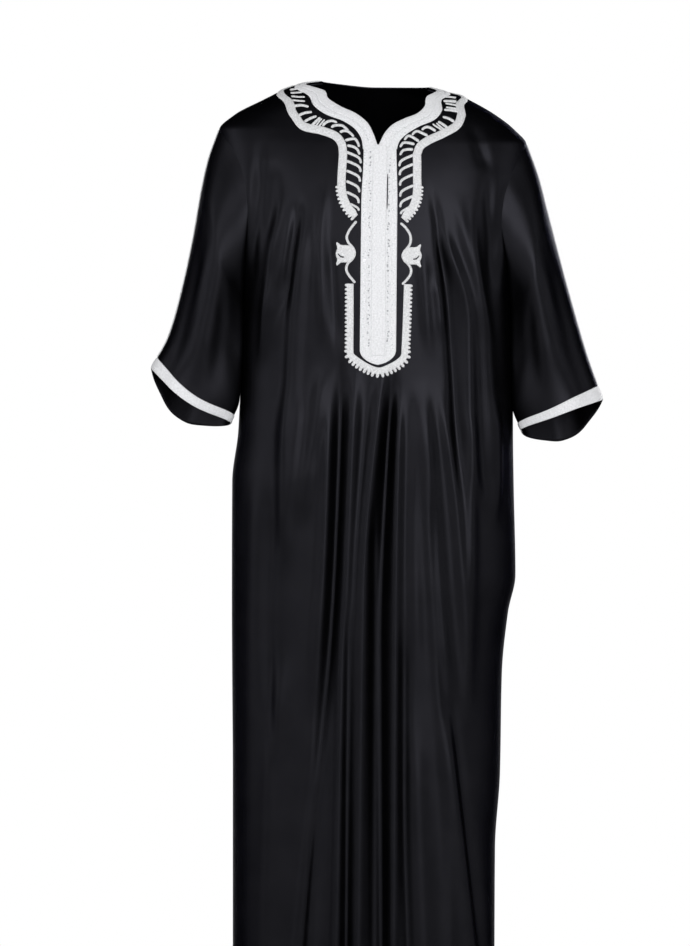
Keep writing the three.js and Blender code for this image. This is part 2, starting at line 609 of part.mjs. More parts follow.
// The spot on a panel's own facets at an angle and a height, so that a trim follows the mesh it lies on.
function onPanel(face, angle, z) {
  const grid = panels[face];
  const columns = grid[0].length - 1;
  const way = angle < 0 ? -1 : 1;
  const across = way * solve((a) => Math.abs(angleOf(face, way * a, z)), Math.abs(angle), 1e-9, 1);
  const heightAt = (row) => {
    const low = Math.min(Math.floor(row), ROWS.length - 2);
    return mix(rowHeight(face, low, across), rowHeight(face, low + 1, across), row - low);
  };
  const row = THREE.MathUtils.clamp(solve(heightAt, z, 0, ROWS.length - 1), 0, ROWS.length - 1 - 1e-9);
  const column = THREE.MathUtils.clamp(((across + 1) * columns) / 2, 0, columns - 1e-9);
  const [r, c] = [Math.floor(row), Math.floor(column)];
  const [v, u] = [row - r, column - c];
  const corners = [grid[r][c], grid[r][c + 1], grid[r + 1][c + 1], grid[r + 1][c]];
  const weights = u >= v ? [1 - u, u - v, v, 0] : [1 - v, 0, u, v - u];
  const point = new THREE.Vector3();
  const normal = new THREE.Vector3();
  corners.forEach((spot, i) => {
    point.addScaledVector(spot.point, weights[i]);
    normal.addScaledVector(spot.normal, weights[i]);
  });
  return { point, normal: normal.normalize() };
}

function onFront(x, z) {
  return onPanel('front', angleAt('front', x, z), z);
}

// The height reached by going a distance down a face from its neckline at one angle.
function belowNeckline(face, angle, distance) {
  let z = necklineHeight(face, angle);
  let gone = 0;
  let last = plainBody(face, angle, z);
  while (gone < distance) {
    z -= HEIGHT_STEP;
    const next = plainBody(face, angle, z);
    gone += next.distanceTo(last);
    last = next;
  }
  return z;
}

// A place round the neck. Station: 0 at the notch, 7 at the shoulder seam, 11 at the middle of the back.
// Share: 0 on the neckline, 1 on the neckband's outer edge, 2 on the middle of the outer border.
const BACK_STATION = 11;

function neckSpot(sign, station, share) {
  if (station > RIDGE_STATION) {
    const turn = (BACK_STATION - station) / (BACK_STATION - RIDGE_STATION);
    const angle = sign * turn * RIGHT_ANGLE;
    const outside = mix(NECKBAND_WIDTH, BORDER_REACH, share - 1);
    const distance = share < 1 ? share * NECKBAND_WIDTH : outside;
    return onPanel('back', angle, belowNeckline('back', angle, distance + 0.4));
  }
  const lines = neckLines[sideName(sign)];
  const [inner, outer] = share < 1 ? [lines.neck, lines.band] : [lines.band, lines.edge];
  const part = share < 1 ? share : share - 1;
  const z = mix(inner.z(station), outer.z(station), part);
  const angle = mix(inner.angle(station), outer.angle(station), part);
  return onPanel('front', sign * angle, z);
}

// The width of cloth between the neckline and the border, to turn a distance into a share.
function shareOf(sign, station, fromBorder) {
  const outer = neckSpot(sign, station, 2).point;
  const inner = neckSpot(sign, station, 1).point;
  return 2 + fromBorder / outer.distanceTo(inner);
}

function stationsBetween(from, to, count) {
  return Array.from({ length: count + 1 }, (_, i) => mix(from, to, i / count));
}

// Stations at even distances along the neck at one share.
function evenStations(sign, from, to, share, spacing) {
  const fine = stationsBetween(from, to, 200);
  const spots = fine.map((station) => neckSpot(sign, station, share).point);
  const gone = [0];
  for (let i = 1; i < fine.length; i += 1) gone.push(gone[i - 1] + spots[i].distanceTo(spots[i - 1]));
  const count = Math.round(gone.at(-1) / spacing);
  const stations = stationsBetween(0, gone.at(-1), count).map((distance) =>
    fine[gone.findIndex((value) => value >= distance - 1e-9)]);
  return stations;
}

const TRIM_STEP = 9;

// The neckband: a flat strip from one side of the notch round the back to the other.
function neckband() {
  const half = [
    ...evenStations(-1, 0, 6.97, 0.8, TRIM_STEP), ...evenStations(-1, 7.08, BACK_STATION, 0.8, TRIM_STEP),
  ];
  const ends = half.map((station) => [-1, station]);
  const others = half.slice(0, -1).reverse().map((station) => [1, station]);
  const grid = [...ends, ...others].map(([sign, station]) =>
    [0.01, 0.5, 1].map((share) => neckSpot(sign, station, share)));
  return fitted(shell(grid, LIFT, LIFT + TRIM));
}

// The placket: a straight strip with a blunt point.
const placketAt = {
  middle: through(PLACKET, 'z', 'middle'),
  half: through(PLACKET, 'z', 'half'),
};

// How fast the placket's upper edge falls off the notch to each side, along the neckband's ends.
const TOP_SLOPE = { left: 0.255, right: 0.2 };
const STRAIGHT_ROWS = 19;

function placketStrip(bottom, halfAt, columns) {
  return stationsBetween(0, 1, STRAIGHT_ROWS).map((share) => {
    const level = mix(PLACKET_TOP, bottom, share);
    return columns.map((across) => {
      const x = placketAt.middle(level) + across * halfAt(level);
      const top = PLACKET_TOP - TOP_SLOPE[sideName(x)] * Math.abs(x);
      return onFront(x, mix(top, bottom, share));
    });
  });
}

const TIP_HALF = 2;

function placket() {
  const columns = [-1, -0.5, 0, 0.5, 1];
  const straight = placketStrip(PLACKET_BOTTOM, placketAt.half, columns);
  const point = stationsBetween(PLACKET_BOTTOM, PLACKET_TIP, 4).slice(1).map((z) => {
    const share = (z - PLACKET_TIP) / (PLACKET_BOTTOM - PLACKET_TIP);
    const half = mix(TIP_HALF, placketAt.half(z), share);
    return columns.map((across) => onFront(placketAt.middle(z) + across * half, z));
  });
  return shell([...straight, ...point], LIFT, LIFT + TRIM);
}

// The raised overlap that closes the front, on top of the placket.
function placketFlap() {
  const low = LIFT + TRIM + SEAM_GAP;
  return shell(placketStrip(PLACKET_BOTTOM + 3, () => FLAP_HALF, [-1, 0, 1]), low, low + 1.6);
}

// The outer border with its comb teeth below, as spots at set distances from its middle line.
function borderRow(sign, line, i, innerReach, outerReach) {
  const before = line[Math.max(i - 1, 0)];
  const after = line[Math.min(i + 1, line.length - 1)];
  const along = new THREE.Vector2(after.x - before.x, after.z - before.z).normalize();
  const out = new THREE.Vector2(-along.y, along.x);
  return [-innerReach, outerReach].map((reach) =>
    onFront(sign * (line[i].x - out.x * reach), line[i].z - out.y * reach));
}

function curveThrough(points) {
  const places = points.map((p) => new THREE.Vector3(p.x, 0, p.z));
  return new THREE.CatmullRomCurve3(places, false, 'centripetal');
}

function evenPlaces(curve, count) {
  return curve.getSpacedPoints(count).map((p) => ({ x: p.x, z: p.z }));
}

const TAIL_STEPS = 22;
const TOOTH = 2.4;
const TOOTH_ROOT = -1;
const TEETH_BELOW = -163;

function ladderBorder(sign) {
  const tail = evenPlaces(curveThrough(LADDER_TAIL[sideName(sign)]), TAIL_STEPS);
  const rows = tail.slice(0, -1).map((p, i) => {
    const tooth = i % 2 ? TOOTH : TOOTH_ROOT;
    return borderRow(sign, tail, i, BORDER_HALF, BORDER_HALF + (p.z < TEETH_BELOW ? tooth : 0));
  });
  for (const station of evenStations(sign, 0, 6.97, 2, TRIM_STEP)) {
    rows.push([-BORDER_HALF, BORDER_HALF].map((offset) =>
      neckSpot(sign, station, shareOf(sign, station, offset))));
  }
  return shell(rows, LIFT, LIFT + TRIM);
}

// Bars start a little above the border's underside and end a little below its top.
const BAR_RAISED = 0.1;
const BAR_LOWERED = 0.3;

// A rung: a short bar from the border towards the neck with a hook at its inner end.
function bar(spots, halfWidth) {
  const grid = spots.map((spot, i) => {
    const before = spots[Math.max(i - 1, 0)].point;
    const after = spots[Math.min(i + 1, spots.length - 1)].point;
    const side = after.clone().sub(before).cross(spot.normal).normalize().multiplyScalar(halfWidth);
    return [-1, 1].map((way) => {
      const point = spot.point.clone().addScaledVector(side, way);
      return { point, normal: spot.normal };
    });
  });
  return shell(grid, LIFT + BAR_RAISED, LIFT + TRIM - BAR_LOWERED);
}

const RUNG_HALF = 2.4;
const RUNG_ROOT = 6; // how far a rung reaches into the border

function rung(sign, places) {
  const [[x1, z1], [x2, z2]] = places;
  const share = RUNG_ROOT / Math.hypot(x1 - x2, z1 - z2);
  const root = [x1 + share * (x1 - x2), z1 + share * (z1 - z2)];
  return bar([root, ...places].map(([x, z]) => onFront(sign * x, z)), RUNG_HALF);
}

function ladder(sign) {
  const side = sideName(sign);
  const { start, heights } = STRAIGHT_RUNGS[side];
  const straight = heights.map((z) => RUNG_SHAPE.map(([x, down]) => [start + x, z + down]));
  const rungs = [...straight, ...CURVED_RUNGS[side]].map((places) => rung(sign, places));
  return fitted(union([ladderBorder(sign), ...rungs]));
}

const BACK_RUNGS_A_SIDE = 9;
const BACK_RUNG_SHAPE = [[-0.06, 1.9], [0, 1.5], [0.04, 1.2]]; // station from the rung's middle, and share

// The same border and rungs round the back of the neck, from shoulder seam to shoulder seam.
function backLadder() {
  const half = evenStations(-1, 7.06, BACK_STATION, 2, TRIM_STEP);
  const around = [...half.map((s) => [-1, s]), ...half.slice(0, -1).reverse().map((s) => [1, s])];
  const border = around.map(([sign, station]) =>
    [-BORDER_HALF, BORDER_HALF].map((offset) => neckSpot(sign, station, shareOf(sign, station, offset))));
  const pieces = [shell(border, LIFT, LIFT + TRIM)];
  for (const station of stationsBetween(7.25, BACK_STATION - 0.2, BACK_RUNGS_A_SIDE - 1)) {
    for (const sign of [-1, 1]) {
      const spots = BACK_RUNG_SHAPE.map(([off, share]) => neckSpot(sign, station + off, share));
      pieces.push(bar(spots, RUNG_HALF));
    }
  }
  return fitted(union(pieces));
}

// The rosette's outline: a round leaf with two pointed corners on its outer side and two holes.
function rosetteShape() {
  const { radius, ear, earAngle, earWidth, hole, holeOut } = ROSETTE;
  const shape = new THREE.Shape();
  const steps = 24;
  for (let i = 0; i < steps; i += 1) {
    const degrees = (i * 360) / steps;
    const offEar = Math.min(Math.abs(degrees - earAngle), Math.abs(degrees - (360 - earAngle)));
    const reach = mix(ear, radius, Math.min(offEar / earWidth, 1));
    const turn = (degrees * Math.PI) / 180;
    const [x, y] = [reach * Math.cos(turn), reach * Math.sin(turn)];
    if (i === 0) shape.moveTo(x, y);
    else shape.lineTo(x, y);
  }
  for (const way of [-1, 1]) {
    const path = new THREE.Path();
    path.absarc(way * holeOut * 0.7 + 1, way * 2, hole, 0, 2 * Math.PI, true);
    shape.holes.push(path);
  }
  return shape;
}

function rosette(sign) {
  const { x, z } = ROSETTES[sideName(sign)];
  const options = { depth: 1, bevelEnabled: false, curveSegments: 6 };
  const flat = new THREE.ExtrudeGeometry(rosetteShape(), options);
  const points = [];
  const keys = new Map();
  const index = [];
  const place = flat.attributes.position;
  for (let i = 0; i < place.count; i += 1) {
    const key = [place.getX(i), place.getY(i), place.getZ(i)].map((value) => value.toFixed(3)).join();
    if (!keys.has(key)) {
      keys.set(key, points.length);
      const spot = onFront(sign * (x + place.getX(i)), z + place.getY(i));
      points.push(spot.point.clone().addScaledVector(spot.normal, LIFT + place.getZ(i) * (TRIM + 0.3)));
    }
    index.push(keys.get(key));
  }
  const faces = [];
  for (let i = 0; i < index.length; i += 3) faces.push(index.slice(i, i + 3));
  return geometryOf(points, faces);
}

function scroll(sign) {
  const stems = STEMS[sideName(sign)].map((stem) =>
    bar(evenPlaces(curveThrough(stem), STEM_STEPS).map(({ x, z }) => onFront(sign * x, z)), STEM_HALF));
  return union([...stems, rosette(sign)]);
}

// The comb border round the placket's end: a band with teeth on its outer edge.
function combLine() {
  const curve = curveThrough(COMB_LINE);
  return evenPlaces(curve, 2 * Math.round(curve.getLength() / COMB_PITCH));
}

function combBorder() {
  const line = combLine();
  const rows = line.map((_, i) => borderRow(1, line, i, COMB.inner, i % 2 ? COMB.tip : COMB.root));
  return shell(rows, LIFT, LIFT + TRIM);
}

// A sleeve: rings set across the arm, the first one laid on the armhole's edge.
function sleeveTable(side) {
  const columns = ['topX', 'topZ', 'underX', 'underZ', 'front', 'back', 'sagF', 'sagB'];
  return Object.fromEntries(columns.map((column) => [column, through(SLEEVES[side], 'at', column)]));
}

const sleeveTables = { left: sleeveTable('left'), right: sleeveTable('right') };
const tuckDepth = through(TUCKS, 'at', 'depth');

// Angle 0 is the over-arm line, positive angles are in front and half a turn is the underarm.
function plainSleeve(side, angle, at) {
  const ring = sleeveTables[side];
  const sign = side === 'left' ? -1 : 1;
  const top = new THREE.Vector3(sign * ring.topX(at), 0, ring.topZ(at));
  const under = new THREE.Vector3(sign * ring.underX(at), 0, ring.underZ(at));
  const centre = top.clone().add(under).multiplyScalar(0.5);
  const up = top.clone().sub(under).multiplyScalar(0.5);
  const sine = Math.sin(angle);
  const depth = sine > 0 ? ring.front(at) : ring.back(at);
  const sag = (sine > 0 ? ring.sagF(at) : ring.sagB(at)) * sine * sine;
  const down = new THREE.Vector3(sign * Math.abs(up.z), 0, -Math.abs(up.x)).normalize();
  const point = centre.addScaledVector(up, Math.cos(angle)).addScaledVector(down, sag);
  point.y -= depth * sine;
  const offTuck = (Math.acos(Math.cos(angle)) * 180) / Math.PI - TUCK.angle;
  point.x -= sign * tuckDepth(at) * Math.exp(-((offTuck / TUCK.width) ** 2));
  return point;
}

function sleeveFoldHeight(angle, at) {
  const degrees = (angle * 180) / Math.PI;
  let height = 0;
  for (const fold of SLEEVE_FOLDS) {
    const along = smooth(fold.from, fold.from + 0.25, at) * (1 - smooth(fold.to - 0.25, fold.to, at));
    height += fold.height * along * Math.exp(-(((degrees - fold.angle) / fold.width) ** 2));
  }
  return height;
}

// The armhole's edge at an angle round the arm, on the panel that it belongs to.
function armholeSpot(side, angle) {
  const { under, top } = ARMHOLES[side];
  const z = mix(under, top, (1 + Math.cos(angle)) / 2);
  const face = Math.sin(angle) >= 0 ? 'front' : 'back';
  const edge = panelEdge(face, side, z) * (side === 'left' ? -1 : 1);
  return bodySpot(face, edge, z);
}

const SEAM_BLEND = 0.3;

function sleevePoint(side, angle, at) {
  const point = plainSleeve(side, angle, at);
  const weight = 1 - smooth(0, SEAM_BLEND, at);
  if (weight > 0) {
    const shift = armholeSpot(side, angle).point.sub(plainSleeve(side, angle, 0));
    point.addScaledVector(shift, weight);
  }
  const middle = plainSleeve(side, 0, at).add(plainSleeve(side, Math.PI, at)).multiplyScalar(0.5);
  const out = point.clone().sub(middle).normalize();
  return point.addScaledVector(out, sleeveFoldHeight(angle, at));
}

function sleeveSpot(side, angle, at) {
  const inside = THREE.MathUtils.clamp(at, 0.01, 0.99);
  const normal = normalOf((a, s) => sleevePoint(side, a, s), angle, inside, 0.02, 0.01);
  const roughlyOut = new THREE.Vector3(0, -Math.sin(angle), Math.cos(angle));
  if (normal.dot(roughlyOut) < 0) normal.negate();
  return { point: sleevePoint(side, angle, at), normal };
}

// The last ring but one is where the cuff's band starts.
function sleeveStations(side) {
  const length = sleevePoint(side, RIGHT_ANGLE, 1).distanceTo(sleevePoint(side, RIGHT_ANGLE, 0.9)) / 0.1;
  const bandStart = 1 - CUFF_BAND / length;
  const stations = stationsBetween(0, bandStart, SLEEVE_RINGS - 1);
  return [...stations, 1];
}

function sleeveAngles() {
  const around = 2 * ARMHOLE_STEPS;
  return Array.from({ length: around }, (_, i) => Math.PI - (2 * Math.PI * i) / around);
}

function sleeveGrid(side) {
  const sign = side === 'left' ? -1 : 1;
  return sleeveStations(side).map((at, ringIndex) => sleeveAngles().map((angle) => {
    if (ringIndex > 0) return sleeveSpot(side, angle, at);
    const spot = armholeSpot(side, angle);
    const growth = sleevePoint(side, angle, 0.04).sub(sleevePoint(side, angle, 0)).normalize();
    growth.x += sign * 0.5;
    growth.addScaledVector(spot.normal, -growth.dot(spot.normal)).normalize();
    spot.point.addScaledVector(growth, SEAM_GAP);
    return spot;
  }));
}

const sleeveGrids = { left: sleeveGrid('left'), right: sleeveGrid('right') };

function cuff(side) {
  return shell(sleeveGrids[side].slice(-2), LIFT, LIFT + TRIM, true);
}

function between(a, b, share) {
  const normal = a.normal.clone().lerp(b.normal, share).normalize();
  return { point: a.point.clone().lerp(b.point, share), normal };
}

// A thin cord down the sleeve just behind its over-arm line.
function sleeveCord(side, offset) {
  const grid = sleeveGrids[side];
  const top = ARMHOLE_STEPS;
  const last = SLEEVE_RINGS - 1;
  const rows = grid.slice(0, -1).map((whole, i) => {
    const ring = i < last ? whole : whole.map((spot, j) => between(grid[last - 1][j], spot, 0.98));
    const ridge = ring[top];
    const behind = ring[top + 1];
    const across = behind.point.clone().sub(ridge.point);
    const wide = across.length();
    return [offset, offset + 2.6].map((distance) => ({
      point: ridge.point.clone().addScaledVector(across, distance / wide),
      normal: ridge.normal.clone().lerp(behind.normal, 0.5).normalize(),
    }));
  });
  return shell(rows, LIFT, LIFT + 1.5);
}

const garment = new THREE.Group();

function add(name, geometry, surface) {
  const mesh = new THREE.Mesh(geometry, surface);
  mesh.name = name;
  garment.add(mesh);
}

add('front', shell(frontGrid, -CLOTH, 0), SATIN);
add('back', shell(backGrid, -CLOTH, 0), SATIN);
for (const side of ['left', 'right']) {
  const wearer = side === 'left' ? 'right' : 'left';
  add(`sleeve_${wearer}`, shell(sleeveGrids[side], -CLOTH, 0, true), SATIN);
  add(`cuff_band_${wearer}`, cuff(side), BAND);
  add(`sleeve_cord_${wearer}_1`, sleeveCord(side, 2), CORD);
  add(`sleeve_cord_${wearer}_2`, sleeveCord(side, 8), CORD);
}
add('neckband', neckband(), BAND);
add('placket', placket(), BAND);
add('placket_flap', placketFlap(), BAND);
for (const [wearer, sign] of [['right', -1], ['left', 1]]) {
  add(`ladder_${wearer}`, ladder(sign), BRAID);
  add(`scroll_${wearer}`, scroll(sign), BRAID);
}
add('ladder_back', backLadder(), BRAID);
add('comb_border', combBorder(), BRAID);

export default garment;
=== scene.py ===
"""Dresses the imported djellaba: black satin with its folds, white embroidery, cords, beads and sequins.

Numbers in the tables are millimetres in the frame of the CAD nodes; meshes are written in metres.
"""

import math

import bpy
import numpy as np
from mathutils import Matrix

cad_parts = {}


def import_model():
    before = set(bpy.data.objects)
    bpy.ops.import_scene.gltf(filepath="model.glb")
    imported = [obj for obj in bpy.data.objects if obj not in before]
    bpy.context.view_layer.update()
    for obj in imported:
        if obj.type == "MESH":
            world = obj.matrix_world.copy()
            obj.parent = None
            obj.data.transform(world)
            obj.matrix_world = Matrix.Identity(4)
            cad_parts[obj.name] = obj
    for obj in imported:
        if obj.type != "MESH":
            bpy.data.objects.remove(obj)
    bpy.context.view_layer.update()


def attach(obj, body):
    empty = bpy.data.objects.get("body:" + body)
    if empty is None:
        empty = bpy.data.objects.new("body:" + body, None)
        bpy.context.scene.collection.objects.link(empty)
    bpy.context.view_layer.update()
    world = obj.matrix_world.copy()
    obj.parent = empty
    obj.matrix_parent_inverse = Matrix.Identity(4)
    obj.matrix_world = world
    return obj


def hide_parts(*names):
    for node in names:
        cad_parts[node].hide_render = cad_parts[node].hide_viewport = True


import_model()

MM = 0.001
RIGHT_ANGLE = math.pi / 2
SIGN = {"left": -1, "right": 1}  # of x, for a side as seen from the front
WEARERS = {"left": "right", "right": "left"}  # the wearer's name for that side


def table(columns, rows):
    """Rows of numbers as dicts by the names of the table's columns."""
    names = columns.split()
    return [dict(zip(names, row)) for row in rows]


# ---------------------------------------------------------------- sizes of the cut, as in the CAD nodes

LENGTH = 1420.0
CLOTH = 1.1  # thickness of the shown shell
ALLOWANCE = 7.0  # a seam's edge, turned in
ARMHOLE_DEPTH = 80.0
PLACKET_TOP = -98.7
PLACKET_BOTTOM = -430.0
PLACKET_TIP = -452.3
FLAP_HALF = 11.5
BORDER_HALF = 6.7
NECKBAND_WIDTH = 28.0
BORDER_REACH = 51.0
BACK_NECK_DROP = 3.0
CUFF_BAND = 16.5

SECTIONS = table("z left right front back power", [
    (-1420, 234, 188, 150, 140, 2.35),
    (-1230, 234, 189, 149, 139, 2.35),
    (-1110, 234, 197, 147, 138, 2.35),
    (-950, 235, 200, 145, 136, 2.35),
    (-850, 235.5, 210, 144, 134, 2.35),
    (-790, 235.5, 222, 143, 133, 2.35),
    (-640, 235, 219, 141, 128, 2.4),
    (-556, 225, 218, 139, 125, 2.4),
    (-450, 221, 218, 136, 124, 2.4),
    (-340, 221, 219, 136, 129, 2.5),
    (-260, 233, 226, 133, 131, 2.55),
    (-200, 243, 233, 127, 130, 2.55),
    (-150, 250, 238, 118, 126, 2.5),
    (-97, 255, 240, 103, 118, 2.4),
    (-73, 256, 221, 93, 110, 2.35),
    (-48, 231, 189, 80, 99, 2.3),
    (-24, 185, 147, 64, 84, 2.2),
    (-18, 173, 134, 60, 79, 2.15),
    (-9, 155, 100, 53, 71, 2.1),
    (-3, 139, 78, 49, 65, 2.1),
    (2, 120, 68, 45, 60, 2.1),
    (6, 88, 58, 40, 54, 2.1),
])
ARMHOLES = {"left": (-330.0, -73.0), "right": (-340.0, -97.0)}

# Half of the neck from the notch to the shoulder seam, seen from the front: the neckline, the neckband's
# outer edge and the middle of the outer border, on each side.
NECK_COLUMNS = "neckX neckZ bandX bandZ edgeX edgeZ"
NECK = {
    "left": table(NECK_COLUMNS, [
        (0.3, -100, 24, -106, 56.1, -114),
        (7, -81, 26, -91.5, 57.5, -100),
        (15.5, -64.5, 35, -75, 66, -86),
        (33, -49, 55, -60.5, 90, -75.5),
        (60, -36, 82, -50, 117, -69.5),
        (79.6, -23, 103, -35, 134.5, -50.5),
        (85, -11, 111.5, -19, 144, -28),
    ]),
    "right": table(NECK_COLUMNS, [
        (0.3, -100, 30.3, -106, 62.6, -114),
        (11, -79, 34, -94, 67.5, -101.5),
        (23, -66, 44, -83, 79, -92.5),
        (42, -56, 66, -69, 103, -81),
        (62, -48, 90, -58.5, 125.5, -68),
        (75, -36, 103, -43, 134, -51),
        (78.5, -20, 102.5, -26, 132, -33),
    ]),
}
# On the shoulder seam the same three lines are known by their distance from the middle alone.
SHOULDER_REACH = {"left": dict(neck=90, band=119, edge=149.5), "right": dict(neck=81.5, band=100, edge=130)}
SHOULDER_STATION = len(NECK["left"])
BACK_STATION = 11

# The placket: the middle and half-width at heights down it.
PLACKET = table("z middle half", [
    (-100, 3.3, 26.3), (-121, 3.3, 26.8), (-185, 2.2, 29), (-434, -0.2, 29.2),
])

# How wide the placket's round end is at distances up from its tip.
PLACKET_END = table("up half", [
    (0, 1), (1.9, 8), (3.9, 13), (7, 18.5), (12, 24.3), (17, 27.6), (22.3, 29.2),
])

# The outer border's middle line below the neck, down to its curled-in end (x away from the middle, z).
LADDER_TAIL = {
    "left": [
        (56.1, -114), (57.2, -130), (58.4, -150), (58.4, -168), (55.5, -184), (48.6, -199), (41, -208),
        (35, -214),
    ],
    "right": [
        (62.6, -114), (63, -130), (63, -150), (63, -170), (61.5, -184), (57, -197), (50, -207), (40, -218),
    ],
}
# Rungs: where the straight ones leave the border and their heights, and the curved ones point by point.
STRAIGHT_RUNGS = {
    "left": dict(start=51, heights=[-110, -124.2, -140, -157, -174.5]),
    "right": dict(start=57, heights=[-115, -129.5, -146.3, -164, -181]),
}
# A straight rung's line: the share of its way to the placket, and how far it has fallen there.
RUNG_SHAPE = [(0, 0), (0.4, -3.6), (0.74, -7.2), (0.92, -10.4), (1, -14.2), (1.02, -18.5)]
LAST_RUNG = {
    "left": [(44.5, -193.5), (38, -197), (32.5, -200.5), (30.4, -205)],
    "right": [(50, -199), (44, -202.5), (38.5, -206), (36, -210.5)],
}
RUNG_GAP = 4.9  # from the placket's edge to the middle of a rung's end
CURVED_RUNGS = {
    "left": [
        [(49.5, -99.5), (39.8, -101.6), (33.3, -105.9), (30.2, -112.4)],
        [(52.7, -91.4), (44.1, -89.2), (36.6, -89.2), (32.5, -95.2), (30.8, -100)],
        [(61.3, -78), (54.8, -75.8), (48.4, -76.8), (44.1, -79.8), (40.3, -83.8)],
        [(75.3, -70.4), (71, -67.6), (64.5, -66.6), (57.4, -67.4), (52.9, -70.6), (49.2, -74)],
        [(89.2, -68), (84.9, -63.4), (79.6, -60.3), (73.1, -59.7), (67.7, -61.6)],
        [(106.5, -67.2), (100, -60.8), (94.4, -55.4)],
        [(118.3, -60.8), (108.6, -55.4), (100.6, -52.4)],
        [(126.9, -50.5), (118.3, -46.8), (108.4, -45.2)],
        [(136, -35.5), (123.7, -33.9), (113.6, -36)],
    ],
    "right": [
        [(56.5, -105.9), (47.3, -105.9), (39.8, -108.1), (36.4, -113.4)],
        [(59, -97.6), (48.4, -95.2), (40.6, -95.4), (36.6, -100.5)],
        [(66, -93), (58.1, -87.6), (50.9, -84), (46.9, -85), (43.6, -89)],
        [(80, -83.6), (69.9, -79), (63.4, -76.4), (58.4, -78.4), (56.2, -81)],
        [(93, -76), (82.8, -70.2), (76.3, -70), (72, -73)],
        [(113, -71.6), (104.3, -65.1), (98.6, -61.6)],
        [(123, -61), (114, -55.8), (106.4, -53.4)],
        [(128.5, -43.8), (118.3, -42), (108.6, -41.4)],
        [(126.5, -27.6), (118, -27.2), (107.6, -27)],
    ],
}
# Thinner lines: the two of the chevron and the close ones on the shoulder.
FINE_RUNGS = {
    "left": [
        [(100.5, -69), (93.5, -59.2), (90, -56)],
        [(95.7, -69.6), (89.2, -61.4), (85.6, -57.4)],
        [(138.2, -25.5), (128, -26.6), (117.5, -27.4)],
        [(139.8, -19), (129, -20.2), (117.5, -20.4)],
        [(141, -13.6), (131, -13.2), (121, -12.4)],
        [(142, -8.4), (133, -7.2), (123, -5.4)],
    ],
    "right": [
        [(102.6, -74), (92.5, -67.8), (88, -64.4)],
        [(107, -74), (97.8, -66.6), (94, -62.8)],
        [(127.5, -39.6), (119, -38.4), (109.5, -37.2)],
        [(127, -34), (118, -32.4), (108.5, -31)],
        [(126, -21.4), (117, -20.4), (106.5, -20)],
    ],
}

# The stem that runs down past each rosette's inner side (x away from the middle, z), and the rosettes.
STEMS = {
    "left": [
        (34.5, -221.5), (41.5, -230), (47.2, -238.5), (50.2, -247.2), (47.6, -255.9), (41.5, -262.8),
        (38.2, -269), (38, -276), (42, -283.2), (48.2, -289.3), (50.8, -296), (50.2, -302), (46.8, -308.4),
        (41, -315.6), (36.6, -320.8),
    ],
    "right": [
        (36, -224.5), (42.5, -230), (47.8, -236.5), (51.6, -244), (52.6, -252), (50.8, -259.4),
        (46, -266), (41.8, -271), (41, -277), (43, -283.6), (48, -290), (52, -296), (53.2, -302.4),
        (51.2, -309), (46, -316), (38.6, -323.4),
    ],
}
ROSETTES = {"left": (52.5, -274), "right": (54.5, -277.4)}

# The comb border's middle line from its left end round the placket's point to its right end.
COMB_LINE = [
    (-46, -322), (-46, -380), (-46.2, -425), (-45, -437), (-37, -445), (-20, -456), (0.8, -463.5),
    (21, -457), (37, -447), (43.5, -438), (44.6, -425), (46.6, -380), (48.4, -323),
]
COMB_PITCH = 6.6
COMB_HALF = 5.2

SLEEVES_COLUMNS = "at topX topZ underX underZ front back sagF sagB"
SLEEVES = {
    "left": table(SLEEVES_COLUMNS, [
        (0, 256, -73, 221, -330, 80, 80, 0, 0),
        (0.15, 273, -121, 224, -360, 82, 80, 0, 0),
        (0.3, 283, -165, 226, -392, 80, 77, 0, 3),
        (0.5, 298, -250, 229, -436, 75, 72, 2, 10),
        (0.7, 315, -328, 232, -480, 70, 69, 5, 20),
        (0.86, 338, -407, 235, -516, 67, 69, 8, 30),
        (1, 366, -457, 239, -547, 67, 71, 11, 41),
    ]),
    "right": table(SLEEVES_COLUMNS, [
        (0, 240, -97, 219, -340, 80, 80, 0, 0),
        (0.15, 259, -150, 222, -372, 82, 80, 0, 0),
        (0.3, 273, -204, 224, -405, 80, 77, 0, 3),
        (0.5, 293, -281, 227, -450, 75, 72, -1, 10),
        (0.7, 314, -358, 229, -494, 70, 69, -2, 20),
        (0.86, 337, -436, 231, -529, 67, 69, -3, 29),
        (1, 363, -508, 234, -560, 67, 71, -3, 38),
    ]),
}

# How far a sleeve's inner side is tucked towards the body from the armhole (0) to the cuff (1), and where
# round the arm the tuck lies, to the front and to the back, in degrees.
TUCKS = table("at depth", [(0, 0), (0.15, 10), (0.3, 17), (0.5, 21), (0.7, 22), (0.86, 22), (1, 12)])
TUCK_ANGLE = 138
TUCK_WIDTH = 26
